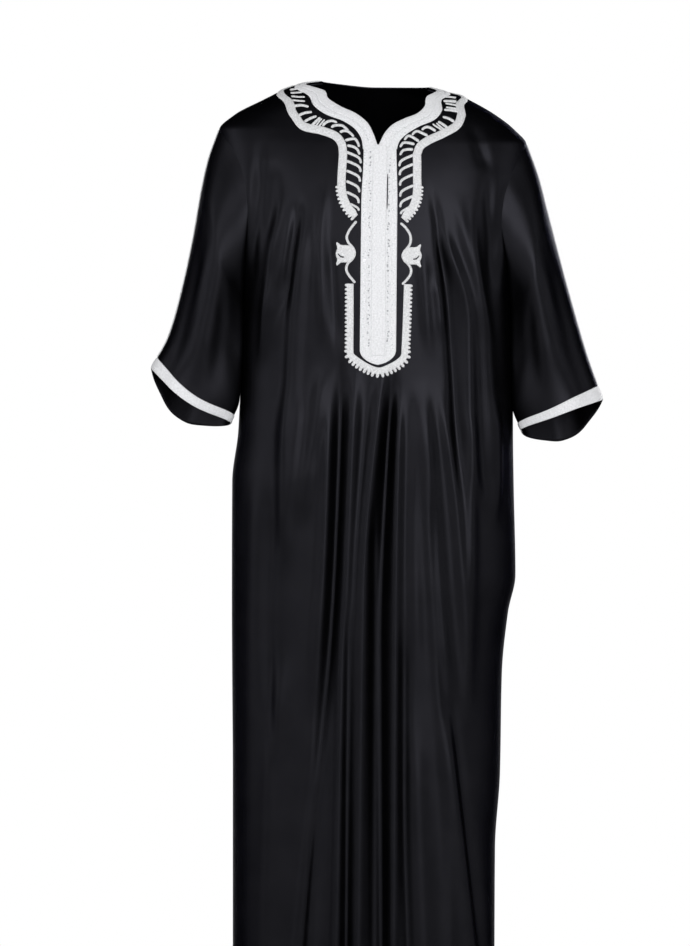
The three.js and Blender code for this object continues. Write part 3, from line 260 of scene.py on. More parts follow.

# ------------------------------------------------------------------------------- folds, placed one by one

# Each line runs through three places (x, z). Height is out of the cloth, a trough is negative, and the
# two half-widths are those of its -X and +X flanks. A line that ends at the hem runs out of it.
FOLD_COLUMNS = "x_top z_top x_mid z_mid x_low z_low height left right"
FRONT_FOLDS = table(FOLD_COLUMNS, [
    # chest and shoulder, towards -X
    (-175, -120, -178, -190, -180, -270, -7, 17, 17),
    (-187, -73, -200, -230, -212, -410, -6, 9, 9),
    (-150, -165, -166, -256, -187, -453, 8, 12, 13),
    (-134, -195, -146, -262, -160, -345, 4, 7, 9),
    (-126, -175, -138, -262, -154, -390, -8, 8, 8),
    (-108, -168, -135, -400, -147, -760, 9, 12, 17),
    (-172, -300, -178, -372, -190, -470, 4, 8, 8),
    (-84, -150, -92, -266, -90, -430, 5, 10, 9),
    (-76, -236, -69, -370, -64, -450, -4, 7, 8),
    # chest and shoulder, towards +X
    (152, -60, 164, -100, 180, -150, -4, 10, 10),
    (176, -130, 184, -256, 186, -360, -8, 12, 12),
    (208, -140, 198, -230, 190, -290, -4, 9, 9),
    (124, -165, 172, -420, 190, -740, 8, 11, 14),
    (150, -172, 160, -305, 184, -450, 4, 8, 8),
    (81, -190, 144, -385, 150, -1042, 9, 9, 12),
    (84, -150, 116, -380, 134, -700, -9, 8, 8),
    (70, -250, 76, -340, 84, -450, 4, 9, 9),
    (90, -300, 98, -350, 104, -420, 4, 9, 9),
    # from the waist down, towards -X
    (-146, -470, -153, -618, -146, -800, 7, 12, 11),
    (-119, -480, -130, -580, -144, -720, 5, 10, 12),
    (-87, -440, -105, -580, -125, -720, 7, 12, 14),
    (-77, -490, -86, -760, -106, -1040, 9, 11, 10),
    (-57, -420, -72, -800, -130, -1420, -10, 10, 10),
    (-36, -440, -55, -918, -68, -1420, 12, 11, 11),
    (-48, -800, -51, -1100, -52, -1420, -6, 7, 7),
    (-150, -900, -172, -1150, -180, -1420, 8, 18, 18),
    (-196, -600, -205, -900, -207, -1420, 4, 14, 20),
    (-170, -640, -178, -860, -160, -1180, -5, 10, 11),
    (-98, -1000, -104, -1220, -108, -1420, 4, 10, 12),
    # the middle
    (11, -430, -24, -815, -32, -1420, 13, 12, 10),
    (-6, -640, -8, -900, -9, -1420, -5, 6, 6),
    (24, -440, 3, -900, 5, -1420, -12, 10, 9),
    (34, -480, 28, -815, 24, -1420, 11, 9, 9),
    (42, -840, 42, -1120, 50, -1420, -7, 8, 8),
    # from the waist down, towards +X
    (62, -470, 58, -700, 64, -1000, 6, 12, 14),
    (73, -470, 92, -792, 150, -1420, 11, 15, 12),
    (96, -470, 126, -690, 148, -1060, 8, 9, 10),
    (84, -600, 92, -800, 120, -1180, -5, 7, 7),
    (98, -900, 124, -1060, 172, -1420, -8, 9, 10),
    (147, -520, 154, -618, 176, -700, 4, 9, 9),
    (185, -490, 192, -610, 186, -730, 6, 8, 8),
    (60, -1010, 66, -1200, 76, -1420, 4, 12, 14),
    (104, -1000, 112, -1200, 118, -1420, 4, 10, 12),
])
BACK_FOLDS = table(FOLD_COLUMNS, [
    (-150, -150, -168, -320, -176, -560, 8, 16, 14),
    (-118, -170, -128, -420, -140, -1420, 10, 17, 18),
    (-100, -260, -106, -420, -112, -640, -4, 9, 9),
    (-78, -230, -80, -600, -92, -1420, -9, 15, 16),
    (-44, -260, -46, -760, -52, -1420, 11, 16, 17),
    (-24, -420, -26, -700, -30, -1100, 4, 9, 10),
    (-4, -330, -8, -800, -6, -1420, -9, 16, 17),
    (12, -620, 14, -900, 16, -1420, 4, 9, 9),
    (34, -240, 36, -700, 40, -1420, 12, 15, 17),
    (72, -300, 78, -700, 88, -1420, -8, 15, 16),
    (56, -360, 60, -520, 64, -700, 4, 8, 9),
    (112, -180, 120, -480, 132, -1420, 10, 16, 17),
    (152, -150, 164, -330, 168, -600, 7, 13, 15),
    (168, -700, 172, -1000, 166, -1420, -6, 15, 15),
    (-186, -640, -188, -1000, -190, -1420, -6, 14, 15),
    (-168, -1000, -166, -1200, -164, -1420, 4, 10, 12),
    (146, -560, 150, -760, 152, -1000, 4, 10, 12),
    (-60, -90, -84, -150, -104, -240, 3, 14, 14),
    (58, -90, 80, -150, 98, -240, 3, 14, 14),
])

# Folds of the sleeves: angle round the arm from the over-arm line (to the front when positive) at the
# fold's start and end, its half-width in degrees and its reach from the armhole (0) to the cuff (1).
SLEEVE_FOLDS = table("angle turn width start end height", [
    (128, 0, 18, 0.02, 0.85, -9),
    (84, 0, 19, 0.12, 0.95, 6),
    (46, 0, 17, 0.35, 1.2, -5),
    (66, -10, 9, 0.3, 0.8, 3),
    (104, 8, 8, 0.3, 0.95, -3),
    (150, -6, 9, 0.3, 1.2, 3.5),
    (-58, 0, 20, 0.2, 1.2, -6),
    (-92, 0, 18, 0.1, 0.9, 6),
    (-130, 0, 18, 0.02, 0.8, -8),
    (-76, -8, 8, 0.35, 0.9, -3),
    (-110, 6, 9, 0.3, 1.2, 3),
])


# -------------------------------------------------------------------------------- the garment's surface


def through(rows, at, column):
    """A cubic through a table's rows whose slopes are the harmonic means of its neighbours', so that it
    never overshoots."""
    ordered = sorted(rows, key=lambda row: row[at])
    xs = np.array([row[at] for row in ordered], float)
    ys = np.array([row[column] for row in ordered], float)
    slopes = np.diff(ys) / np.diff(xs)
    product = slopes[:-1] * slopes[1:]
    total = slopes[:-1] + slopes[1:]
    inner = np.where(product > 0, 2 * product / np.where(total == 0, 1, total), 0)
    tangents = np.concatenate([slopes[:1], inner, slopes[-1:]])

    def curve(x):
        x = np.clip(x, xs[0], xs[-1])
        i = np.clip(np.searchsorted(xs, x, side="right") - 1, 0, len(xs) - 2)
        span = xs[i + 1] - xs[i]
        u = (x - xs[i]) / span
        level = ys[i] * (1 + 2 * u) * (1 - u) ** 2 + ys[i + 1] * u * u * (3 - 2 * u)
        return level + span * (tangents[i] * u * (1 - u) ** 2 - tangents[i + 1] * u * u * (1 - u))

    return curve


def curves(rows, at):
    """A curve for every other column of a table."""
    return {name: through(rows, at, name) for name in rows[0] if name != at}


def smooth(start, end, x):
    """0 before start, 1 after end and 3t^2 - 2t^3 between them."""
    t = np.clip((x - start) / (end - start), 0, 1)
    return t * t * (3 - 2 * t)


def mix(a, b, share):
    return a + (b - a) * share


HALVINGS = 44


def solve(function, value, low, high):
    """Where a rising or falling function of one number reaches each value, by halving the interval."""
    value = np.asarray(value, float)
    a = np.full(value.shape, float(low))
    b = np.full(value.shape, float(high))
    rising = function(b) > function(a)
    for _ in range(HALVINGS):
        middle = (a + b) / 2
        below = (function(middle) < value) == rising
        a = np.where(below, middle, a)
        b = np.where(below, b, middle)
    return (a + b) / 2


def paired(a, b):
    """Two grids side by side, as the last axis of one."""
    return np.stack(np.broadcast_arrays(a, b), axis=-1)


def rolled(share):
    """A quarter round: 0 at share 0 and 1 from share 1 on."""
    return np.sqrt(1 - (1 - np.clip(share, 0, 1)) ** 2)


def unit(vectors):
    return vectors / np.maximum(np.linalg.norm(vectors, axis=-1, keepdims=True), 1e-12)


BODY = curves(SECTIONS, "z")


def half_width(sign, z):
    return np.where(np.asarray(sign) < 0, BODY["left"](z), BODY["right"](z))


def plain_body(face, angle, z):
    """Level sections r = ((|sin a| / width)^n + (|cos a| / depth)^n)^(-1/n), with a the angle from the
    middle of the front or back."""
    n = BODY["power"](z)
    sine, cosine = np.sin(angle), np.cos(angle)
    across = np.abs(sine) / half_width(sine, z)
    along = np.abs(cosine) / BODY[face](z)
    radius = (across**n + along**n) ** (-1 / n)
    way = -1 if face == "front" else 1
    return np.stack([radius * sine, way * radius * cosine, z + 0 * radius], axis=-1)


def ready_fold(fold):
    line = [dict(x=fold["x_" + part], z=fold["z_" + part]) for part in ("top", "mid", "low")]
    return dict(fold, x_at=through(line, "z", "x"))


FOLDS = {"front": [ready_fold(f) for f in FRONT_FOLDS], "back": [ready_fold(f) for f in BACK_FOLDS]}


FADE_IN = 0.3  # share of a fold's length
FADE_IN_MOST = 120
FADE_OUT = 0.35
SEAM_FADE = 0.3  # cosine of the angle from the middle


def fold_height(face, angle, x, z):
    """The sum of the folds: bells exp(-u^2) across each line, faded in and out along it, and gone at the
    side seams."""
    height = np.zeros(np.broadcast(x, z).shape)
    for fold in FOLDS[face]:
        top, bottom = fold["z_top"], fold["z_low"]
        long = top - bottom
        start = smooth(top, top - min(FADE_IN * long, FADE_IN_MOST), z)
        end = 1.0 if bottom <= -LENGTH else smooth(bottom, bottom + FADE_OUT * long, z)
        off = x - fold["x_at"](z)
        width = np.where(off < 0, fold["left"], fold["right"])
        height += fold["height"] * start * end * np.exp(-((off / width) ** 2))
    return height * (1 - np.exp(-((np.cos(angle) / SEAM_FADE) ** 2)))


def normal_of(surface, a, b, step_a, step_b):
    along_a = surface(a + step_a, b) - surface(a - step_a, b)
    along_b = surface(a, b + step_b) - surface(a, b - step_b)
    return unit(np.cross(along_a, along_b))


def either(first, one, other):
    """Spots of one set where first holds, and of the other elsewhere."""
    return tuple(np.where(first[..., None], a, b) for a, b in zip(one, other))


def outward(face):
    return 1.0 if face == "front" else -1.0


def folded_body(face, angle, z):
    point = plain_body(face, angle, z)
    normal = normal_of(lambda a, h: plain_body(face, a, h), angle, z, 0.01, 0.5) * outward(face)
    return point + normal * fold_height(face, angle, point[..., 0], z)[..., None]


def body_spot(face, angle, z):
    """Outer points of the cloth and their outward normals."""
    angle, z = np.broadcast_arrays(np.asarray(angle, float), np.asarray(z, float))
    normal = normal_of(lambda a, h: folded_body(face, a, h), angle, z, 0.01, 0.5) * outward(face)
    return folded_body(face, angle, z), normal


def angle_at(face, x, z):
    """The angle of the point that is seen at x and z from that face's side."""
    x, z = np.broadcast_arrays(np.asarray(x, float), np.asarray(z, float))
    share = np.minimum(np.abs(x) / half_width(x, z), 1)
    n = BODY["power"](z)
    return np.arctan2(x, BODY[face](z) * (1 - share**n) ** (1 / n))


def on_front(x, z):
    return body_spot("front", angle_at("front", x, z), z)


def panel_edge(face, side, z):
    """How far round a panel reaches: to the side or shoulder seam, or to the armhole's edge."""
    under, top = ARMHOLES[side]
    height = np.clip(2 * (z - under) / (top - under) - 1, -1, 1)
    reach = ARMHOLE_DEPTH * np.sqrt(1 - height * height)
    n = BODY["power"](z)
    width = BODY[side](z) * (1 - (reach / BODY[face](z)) ** n) ** (1 / n)
    return np.where(reach > 0, np.arctan2(width, np.maximum(reach, 1e-9)), RIGHT_ANGLE)


def shoulder_height(side, distance):
    return float(solve(BODY[side], distance, -60, SECTIONS[-1]["z"]))


def side_of(sign):
    return "left" if sign < 0 else "right"


def neck_lines(sign):
    side = side_of(sign)
    lines = {}
    for name, distance in SHOULDER_REACH[side].items():
        rows = []
        for station, row in enumerate(NECK[side]):
            z = row[name + "Z"]
            rows.append(dict(at=station, z=z, angle=abs(float(angle_at("front", sign * row[name + "X"], z)))))
        rows.append(dict(at=SHOULDER_STATION, z=shoulder_height(side, distance), angle=RIGHT_ANGLE))
        lines[name] = (through(rows, "at", "angle"), through(rows, "at", "z"))
    return lines


NECK_LINES = {-1: neck_lines(-1), 1: neck_lines(1)}


def neckline_height(face, angle):
    """The height of the neckline at an angle from the middle of the front or back."""
    angle = np.asarray(angle, float)
    result = np.zeros(angle.shape)
    for sign in (-1, 1):
        line_angle, line_z = NECK_LINES[sign]["neck"]
        mine = (angle < 0) if sign < 0 else (angle >= 0)
        size = np.abs(angle)
        if face == "back":
            height = mix(-BACK_NECK_DROP, line_z(SHOULDER_STATION), np.sin(size) ** 2)
        else:
            height = line_z(solve(line_angle, np.maximum(size, line_angle(0)), 0, SHOULDER_STATION))
        result = np.where(mine, height, result)
    return result


# ------------------------------------------------------------------------------------- mesh and pieces


def mesh_object(name, points, faces, uv=None):
    """An object from points in millimetres, quads or triangles, and one uv (in millimetres) a point."""
    mesh = bpy.data.meshes.new(name)
    mesh.from_pydata((points * MM).tolist(), [], faces.tolist())
    if uv is not None:
        layer = mesh.uv_layers.new(name="cloth_mm")
        corner = np.empty(len(mesh.loops), dtype=np.int32)
        mesh.loops.foreach_get("vertex_index", corner)
        layer.data.foreach_set("uv", uv[corner].astype(np.float32).ravel())
    mesh.polygons.foreach_set("use_smooth", np.ones(len(mesh.polygons), dtype=bool))
    mesh.update()
    piece = bpy.data.objects.new(name, mesh)
    bpy.context.scene.collection.objects.link(piece)
    return piece


def grid_faces(rows, columns, closed=False, offset=0):
    """Quads between neighbours of a grid. A closed grid joins its last column to its first."""
    spans = columns if closed else columns - 1
    r, c = np.meshgrid(np.arange(rows - 1), np.arange(spans), indexing="ij")
    right = (c + 1) % columns
    corners = [r * columns + c, r * columns + right, (r + 1) * columns + right, (r + 1) * columns + c]
    return np.stack([corner.ravel() for corner in corners], axis=1) + offset


def shell_faces(rows, columns, closed=False):
    """Faces of a closed shell whose outer grid comes first and whose inner grid follows."""
    count = rows * columns
    outer = grid_faces(rows, columns, closed)
    inner = grid_faces(rows, columns, closed, count)[:, ::-1]
    r, c = np.arange(rows - 1), np.arange(columns if closed else columns - 1)
    right = (c + 1) % columns
    last = (rows - 1) * columns
    low = np.stack([c + count, right + count, right, c], axis=1)
    high = np.stack([c + last, right + last, right + last + count, c + last + count], axis=1)
    parts = [outer, inner, low, high]
    if not closed:
        a, b = r * columns, (r + 1) * columns
        parts.append(np.stack([a, b, b + count, a + count], axis=1))
        a, b = a + columns - 1, b + columns - 1
        parts.append(np.stack([a, a + count, b + count, b], axis=1))
    return np.concatenate(parts)


def turned_out(points, faces):
    """The faces, turned over where the closed shell they make has a negative volume."""
    first = points[faces[:, 0]]
    volume = 0.0
    for k in range(1, faces.shape[1] - 1):
        volume += np.einsum("ij,ij->", first, np.cross(points[faces[:, k]], points[faces[:, k + 1]]))
    return faces if volume > 0 else faces[:, ::-1]


def shell_data(points, normals, top, base, uv, closed=False):
    """A closed shell over a grid of spots, from base to top millimetres along their normals."""
    rows, columns = points.shape[:2]
    outer = points + normals * np.broadcast_to(top, (rows, columns))[..., None]
    inner = points + normals * np.broadcast_to(base, (rows, columns))[..., None]
    both = np.concatenate([outer.reshape(-1, 3), inner.reshape(-1, 3)])
    faces = turned_out(both, shell_faces(rows, columns, closed))
    return both, faces, np.concatenate([uv.reshape(-1, 2)] * 2)


def merged(name, parts):
    """One object of several closed shells."""
    offsets = np.cumsum([0] + [len(points) for points, _, _ in parts[:-1]])
    points = np.concatenate([part[0] for part in parts])
    faces = np.concatenate([part[1] + offset for part, offset in zip(parts, offsets)])
    return mesh_object(name, points, faces, np.concatenate([part[2] for part in parts]))


def finish_piece(piece, material, slot, *nodes):
    piece.data.materials.append(material)
    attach(piece, "root")
    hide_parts(*nodes)
    return piece


def trim(name, parts, material, slot, *nodes):
    """A finished piece of several closed shells."""
    return finish_piece(merged(name, parts), material, slot, *nodes)


# ------------------------------------------------------------------------------------------ materials


def new_group(name, inputs, outputs):
    """A group of values that change over a piece, from its inputs with their first values."""
    tree = bpy.data.node_groups.new(name, "ShaderNodeTree")
    for label, value in inputs.items():
        socket = tree.interface.new_socket(name=label, in_out="INPUT", socket_type="NodeSocketFloat")
        socket.default_value = value
    for label in outputs:
        tree.interface.new_socket(name=label, in_out="OUTPUT", socket_type="NodeSocketFloat")
    return tree, tree.nodes.new("NodeGroupInput").outputs, tree.nodes.new("NodeGroupOutput").inputs


def node(tree, kind, **settings):
    """A node with its settings: sockets by their names, and attributes by theirs."""
    made = tree.nodes.new(kind)
    for key, value in settings.items():
        if key in made.inputs:
            made.inputs[key].default_value = value
        else:
            setattr(made, key, value)
    return made


def math_node(tree, operation, a, b=None):
    made = tree.nodes.new("ShaderNodeMath")
    made.operation = operation
    for socket, value in zip(made.inputs, (a, b)):
        if value is None:
            continue
        if isinstance(value, (int, float)):
            socket.default_value = value
        else:
            tree.links.new(value, socket)
    return made.outputs[0]


def scaled(tree, value, factor, offset):
    """value * factor + offset."""
    return math_node(tree, "ADD", math_node(tree, "MULTIPLY", value, factor), offset)


def parts_of(tree, vector):
    split = tree.nodes.new("ShaderNodeSeparateXYZ")
    tree.links.new(vector, split.inputs[0])
    return split.outputs


def noise_on(tree, vector, scale, detail):
    noise = node(tree, "ShaderNodeTexNoise", Scale=scale, Detail=detail)
    tree.links.new(vector, noise.inputs["Vector"])
    return noise.outputs[0]


def principled(name, **values):
    material = bpy.data.materials.new(name)
    material.use_nodes = True
    shader = material.node_tree.nodes["Principled BSDF"]
    for label, value in values.items():
        shader.inputs[label.replace("_", " ")].default_value = value
    return material, material.node_tree, shader


def bumped(tree, shader, height, strength, distance):
    bump = node(tree, "ShaderNodeBump", Strength=strength, Distance=distance)
    tree.links.new(height, bump.inputs["Height"])
    tree.links.new(bump.outputs[0], shader.inputs["Normal"])


def placed_group(tree, group, **values):
    made = tree.nodes.new("ShaderNodeGroup")
    made.node_tree = group
    for label, value in values.items():
        made.inputs[label].default_value = value
    return made.outputs


def ramp_between(tree, factor, low, high):
    """A colour or grey that goes from low to high as factor goes from 0.3 to 0.7."""
    made = tree.nodes.new("ShaderNodeValToRGB")
    for element, position, colour in zip(made.color_ramp.elements, (0.3, 0.7), (low, high)):
        element.position = position
        element.color = colour
    tree.links.new(factor, made.inputs[0])
    return made.outputs[0]


def cloth_uv(tree):
    """The piece's own uv in millimetres, whole and in its two parts."""
    uv = node(tree, "ShaderNodeUVMap", uv_map="cloth_mm").outputs[0]
    return uv, *parts_of(tree, uv)[:2]


def weave_group():
    """Threads crossing at right angles, and slow changes over the whole piece."""
    tree, given, out = new_group("woven_threads", dict(Thread=0.45), ["Height", "Cloud"])
    uv, *parts = cloth_uv(tree)
    turns = math_node(tree, "DIVIDE", 2 * math.pi, given["Thread"])
    across, along = (math_node(tree, "SINE", math_node(tree, "MULTIPLY", part, turns)) for part in parts)
    tree.links.new(scaled(tree, along, 0.5, across), out["Height"])
    tree.links.new(noise_on(tree, uv, 0.02, 3.0), out["Cloud"])
    return tree


def stitch_group():
    """Fine threads across the path of the uv, leaning by Slant, and small changes along it."""
    tree, given, out = new_group("stitched_threads", dict(Pitch=1.9, Slant=0.5), ["Threads", "Cloud"])
    uv, along, across = cloth_uv(tree)
    cloud = noise_on(tree, uv, 0.35, 4.0)
    wander = math_node(tree, "MULTIPLY", given["Pitch"], 0.5)
    place = scaled(tree, cloud, wander, scaled(tree, across, given["Slant"], along))
    turns = math_node(tree, "DIVIDE", 2 * math.pi, given["Pitch"])
    tree.links.new(math_node(tree, "SINE", math_node(tree, "MULTIPLY", place, turns)), out["Threads"])
    tree.links.new(cloud, out["Cloud"])
    return tree


def satin_material():
    """Black satin: it mirrors softly and darkly from every side, without a bright rim."""
    material, tree, shader = principled("black_satin", Metallic=1.0, Specular_Tint=(0.3, 0.3, 0.32, 1))
    weave = placed_group(tree, weave_group(), Thread=0.45)
    cloud = weave["Cloud"]
    colour = ramp_between(tree, cloud, (0.0102, 0.0102, 0.0123, 1), (0.0122, 0.0121, 0.0145, 1))
    tree.links.new(colour, shader.inputs["Base Color"])
    tree.links.new(scaled(tree, cloud, 0.1, 0.37), shader.inputs["Roughness"])
    bumped(tree, shader, weave["Height"], 0.12, 0.0001)
    return material


STITCHES = stitch_group()


def stitched_material(name, light, dark, pitch, slant, strength):
    """Raised stitching in white thread. Its colour is painted shade, darker in the grooves between the
    threads, and it is also mottled at random.
    """
    material, tree, shader = principled(name, Sheen_Weight=0.15, Specular_IOR_Level=0.35)
    stitches = placed_group(tree, STITCHES, Pitch=pitch, Slant=slant)
    threads, cloud = stitches["Threads"], stitches["Cloud"]
    # Painted shade: the thread wave of the bump also darkens the colour in the grooves between threads, and
    # the cloud adds random mottling.
    colour = ramp_between(tree, scaled(tree, threads, 0.22, cloud), dark, light)
    tree.links.new(colour, shader.inputs["Base Color"])
    tree.links.new(scaled(tree, cloud, 0.2, 0.5), shader.inputs["Roughness"])
    bumped(tree, shader, threads, strength, 0.0003)
    return material


SATIN = satin_material()
# The darker colour of each is painted shade in the grooves between threads, mixed with random mottling.
BAND = stitched_material("white_band", (0.76, 0.765, 0.785, 1), (0.54, 0.545, 0.56, 1), 1.1, 0.0, 0.35)
BRAID = stitched_material("white_embroidery", (0.74, 0.745, 0.757, 1), (0.44, 0.443, 0.453, 1), 1.9, 0.5, 0.5)
CORD = stitched_material("white_cord", (0.74, 0.745, 0.757, 1), (0.48, 0.483, 0.49, 1), 2.0, 1.0, 0.6)


def cloud_group():
    """Changes from place to place over a small part."""
    tree, given, out = new_group("uneven_shade", dict(Scale=90.0), ["Cloud"])
    noise = node(tree, "ShaderNodeTexNoise", Detail=2.0)
    tree.links.new(given["Scale"], noise.inputs["Scale"])
    tree.links.new(tree.nodes.new("ShaderNodeTexCoord").outputs["Object"], noise.inputs["Vector"])
    tree.links.new(noise.outputs[0], out["Cloud"])
    return tree


UNEVEN = cloud_group()


def plain_material(name, colour, **values):
    """A glossy small part whose colour changes a little from place to place."""
    material, tree, shader = principled(name, **values)
    cloud = placed_group(tree, UNEVEN, Scale=90.0)["Cloud"]
    darker = tuple(0.82 * value for value in colour[:3]) + (1,)
    tree.links.new(ramp_between(tree, cloud, darker, colour), shader.inputs["Base Color"])
    return material


BEAD = plain_material("silver_bead", (0.42, 0.43, 0.45, 1), Metallic=0.6, Roughness=0.3)
SEQUIN = plain_material("clear_sequin", (0.85, 0.87, 0.9, 1), Metallic=0.35, Roughness=0.16)


# ------------------------------------------------------------------------------------------ the cloth

LOWER_STEPS = 150
ARMHOLE_STEPS = 48
SHOULDER_STEPS = 30
FRONT_COLUMNS = 170
BACK_COLUMNS = 150
SLEEVE_RINGS = 90
BODY_ROUND = 200  # millimetres of uv for each radian round the body
SLEEVE_ROUND = 75  # and round a sleeve


def edge_heights(side):
    """Heights of the rows at one edge of a panel: even below the arm, closer at the armhole's two ends."""
    under, top = ARMHOLES[side]
    neck = NECK_LINES[SIGN[side]]["neck"][1](SHOULDER_STATION)
    turn = np.linspace(0, math.pi, ARMHOLE_STEPS + 1)
    lower = np.linspace(-LENGTH, under, LOWER_STEPS + 1)[:-1]
    middle = mix(under, top, (1 - np.cos(turn)) / 2)
    return np.concatenate([lower, middle, np.linspace(top, neck, SHOULDER_STEPS + 1)[1:]])


LEVEL_UP_TO = -430  # the rows are level below this height


def row_heights(face, across):
    """Heights of all rows at each place across a panel: the rows follow the neckline near it."""
    left, right = edge_heights("left"), edge_heights("right")
    share = (across + 1) / 2
    level = mix(left[:, None], right[:, None], share)
    top = mix(left[-1], right[-1], share)
    drop = neckline_height(face, across * RIGHT_ANGLE) - top
    near = np.clip((level - LEVEL_UP_TO) / (top - LEVEL_UP_TO), 0, 1) ** 1.3
    return level + drop * near


def panel_angles(face, across, z):
    """Even round the body, and drawn in beside an armhole."""
    edge = np.where(across < 0, panel_edge(face, "left", z), panel_edge(face, "right", z))
    missing = RIGHT_ANGLE - edge
    power = np.clip(0.6 * RIGHT_ANGLE / np.maximum(missing, 1e-6), 1.5, 6)
    size = np.abs(across)
    return np.sign(across) * (size * RIGHT_ANGLE - missing * size**power)


def path_lengths(points, axis):
    """How far each grid point is from the first one along one direction of the grid."""
    steps = np.linalg.norm(np.diff(points, axis=axis), axis=-1)
    first = np.zeros_like(np.take(steps, [0], axis=axis))
    return np.concatenate([first, np.cumsum(steps, axis=axis)], axis=axis)


CLOSE = 0.04  # a second row of points this share of a step from a seam's edge keeps its bend tight


def with_allowance(points, normals, uv):
    """The grid with two more columns at each side: one close to the edge, and one turned straight in."""

    def widened(grid, first, last):
        near = mix(grid[:, :1], grid[:, 1:2], CLOSE)
        far = mix(grid[:, -1:], grid[:, -2:-1], CLOSE)
        return np.concatenate([first, grid[:, :1], near, grid[:, 1:-1], far, grid[:, -1:], last], axis=1)

    turned = [points[:, end] - normals[:, end] * ALLOWANCE for end in (slice(0, 1), slice(-1, None))]
    wide = widened(points, *turned)
    ways = widened(normals, normals[:, :1], normals[:, -1:])
    return wide, ways, widened(uv, uv[:, :1], uv[:, -1:])


def body_panel(face, columns):
    across = np.linspace(-1, 1, columns + 1)
    z = row_heights(face, across)
    angle = panel_angles(face, np.broadcast_to(across, z.shape), z)
    points, normals = body_spot(face, angle, z)
    uv = paired(angle * BODY_ROUND, z)
    points, normals, uv = with_allowance(points, normals, uv)
    piece = mesh_object(face + "_cloth", *open_grid(points, normals, uv))
    thicken(piece, CLOTH)
    return finish_piece(piece, SATIN, "satin", face)


def open_grid(points, normals, uv, closed=False):
    """An open sheet over a grid, its faces turned to its normals."""
    rows, columns = points.shape[:2]
    faces = grid_faces(rows, columns, closed)
    flat = points.reshape(-1, 3)
    way = np.cross(flat[faces[:, 1]] - flat[faces[:, 0]], flat[faces[:, 2]] - flat[faces[:, 0]])
    agree = np.einsum("ij,ij->", way, normals.reshape(-1, 3)[faces[:, 0]])
    return flat, faces if agree > 0 else faces[:, ::-1], uv.reshape(-1, 2)


def thicken(piece, thickness):
    solidify = piece.modifiers.new("wall", "SOLIDIFY")
    solidify.thickness = thickness * MM
    solidify.offset = -1
    solidify.use_even_offset = False


SLEEVE_RINGS_AT = {side: curves(rows, "at") for side, rows in SLEEVES.items()}
tuck_depth = through(TUCKS, "at", "depth")


def plain_sleeve(side, angle, at):
    """Rings across the arm: centre + up cos a - depth sin a along Y, sagging by sin^2 a between the lines."""
    ring = SLEEVE_RINGS_AT[side]
    sign = SIGN[side]
    zero = np.zeros(np.broadcast(angle, at).shape)
    top, under = (
        np.stack([sign * ring[line + "X"](at) + zero, zero, ring[line + "Z"](at) + zero], axis=-1)
        for line in ("top", "under")
    )
    up = (top - under) / 2
    sine = np.sin(angle)
    depth = np.where(sine > 0, ring["front"](at), ring["back"](at))
    sag = np.where(sine > 0, ring["sagF"](at), ring["sagB"](at)) * sine**2
    down = unit(np.stack([sign * np.abs(up[..., 2]), zero, -np.abs(up[..., 0])], axis=-1))
    point = (top + under) / 2 + up * np.cos(angle)[..., None] + down * sag[..., None]
    point[..., 1] -= depth * sine
    off = np.degrees(np.arccos(np.clip(np.cos(angle), -1, 1))) - TUCK_ANGLE
    point[..., 0] -= sign * tuck_depth(at) * np.exp(-((off / TUCK_WIDTH) ** 2))
    return point


def sleeve_fold_height(angle, at):
    degrees = np.degrees(angle)
    height = np.zeros(np.broadcast(angle, at).shape)
    for fold in SLEEVE_FOLDS:
        start, end = fold["start"], fold["end"]
        along = smooth(start, start + 0.25, at) * (1 - smooth(end - 0.25, end, at))
        off = degrees - fold["angle"] - fold["turn"] * (at - start) / (end - start)
        height += fold["height"] * along * np.exp(-((off / fold["width"]) ** 2))
    return height


def armhole_spot(side, angle):
    z = mix(*ARMHOLES[side], (1 + np.cos(angle)) / 2)
    front, back = (body_spot(face, SIGN[side] * panel_edge(face, side, z), z) for face in ("front", "back"))
    return either(np.sin(angle) >= 0, front, back)


SEAM_BLEND = 0.3


def sleeve_point(side, angle, at):
    """The rings, shifted near the body so that the first one lies on the armhole's edge."""
    point = plain_sleeve(side, angle, at)
    shift = armhole_spot(side, angle)[0] - plain_sleeve(side, angle, np.zeros_like(at))
    point = point + shift * (1 - smooth(0, SEAM_BLEND, at))[..., None]
    turn = np.zeros_like(angle)
    middle = (plain_sleeve(side, turn, at) + plain_sleeve(side, turn + math.pi, at)) / 2
    return point + unit(point - middle) * sleeve_fold_height(angle, at)[..., None]


def sleeve_spot(side, angle, at):
    angle, at = np.broadcast_arrays(np.asarray(angle, float), np.asarray(at, float))
    inside = np.clip(at, 0.01, 0.99)
    normal = normal_of(lambda a, s: sleeve_point(side, a, s), angle, inside, 0.02, 0.01)
    rough = np.stack([0 * angle, -np.sin(angle), np.cos(angle)], axis=-1)
    way = np.sign(np.einsum("...i,...i->...", normal, rough))[..., None]
    return sleeve_point(side, angle, at), normal * np.where(way == 0, 1, way)


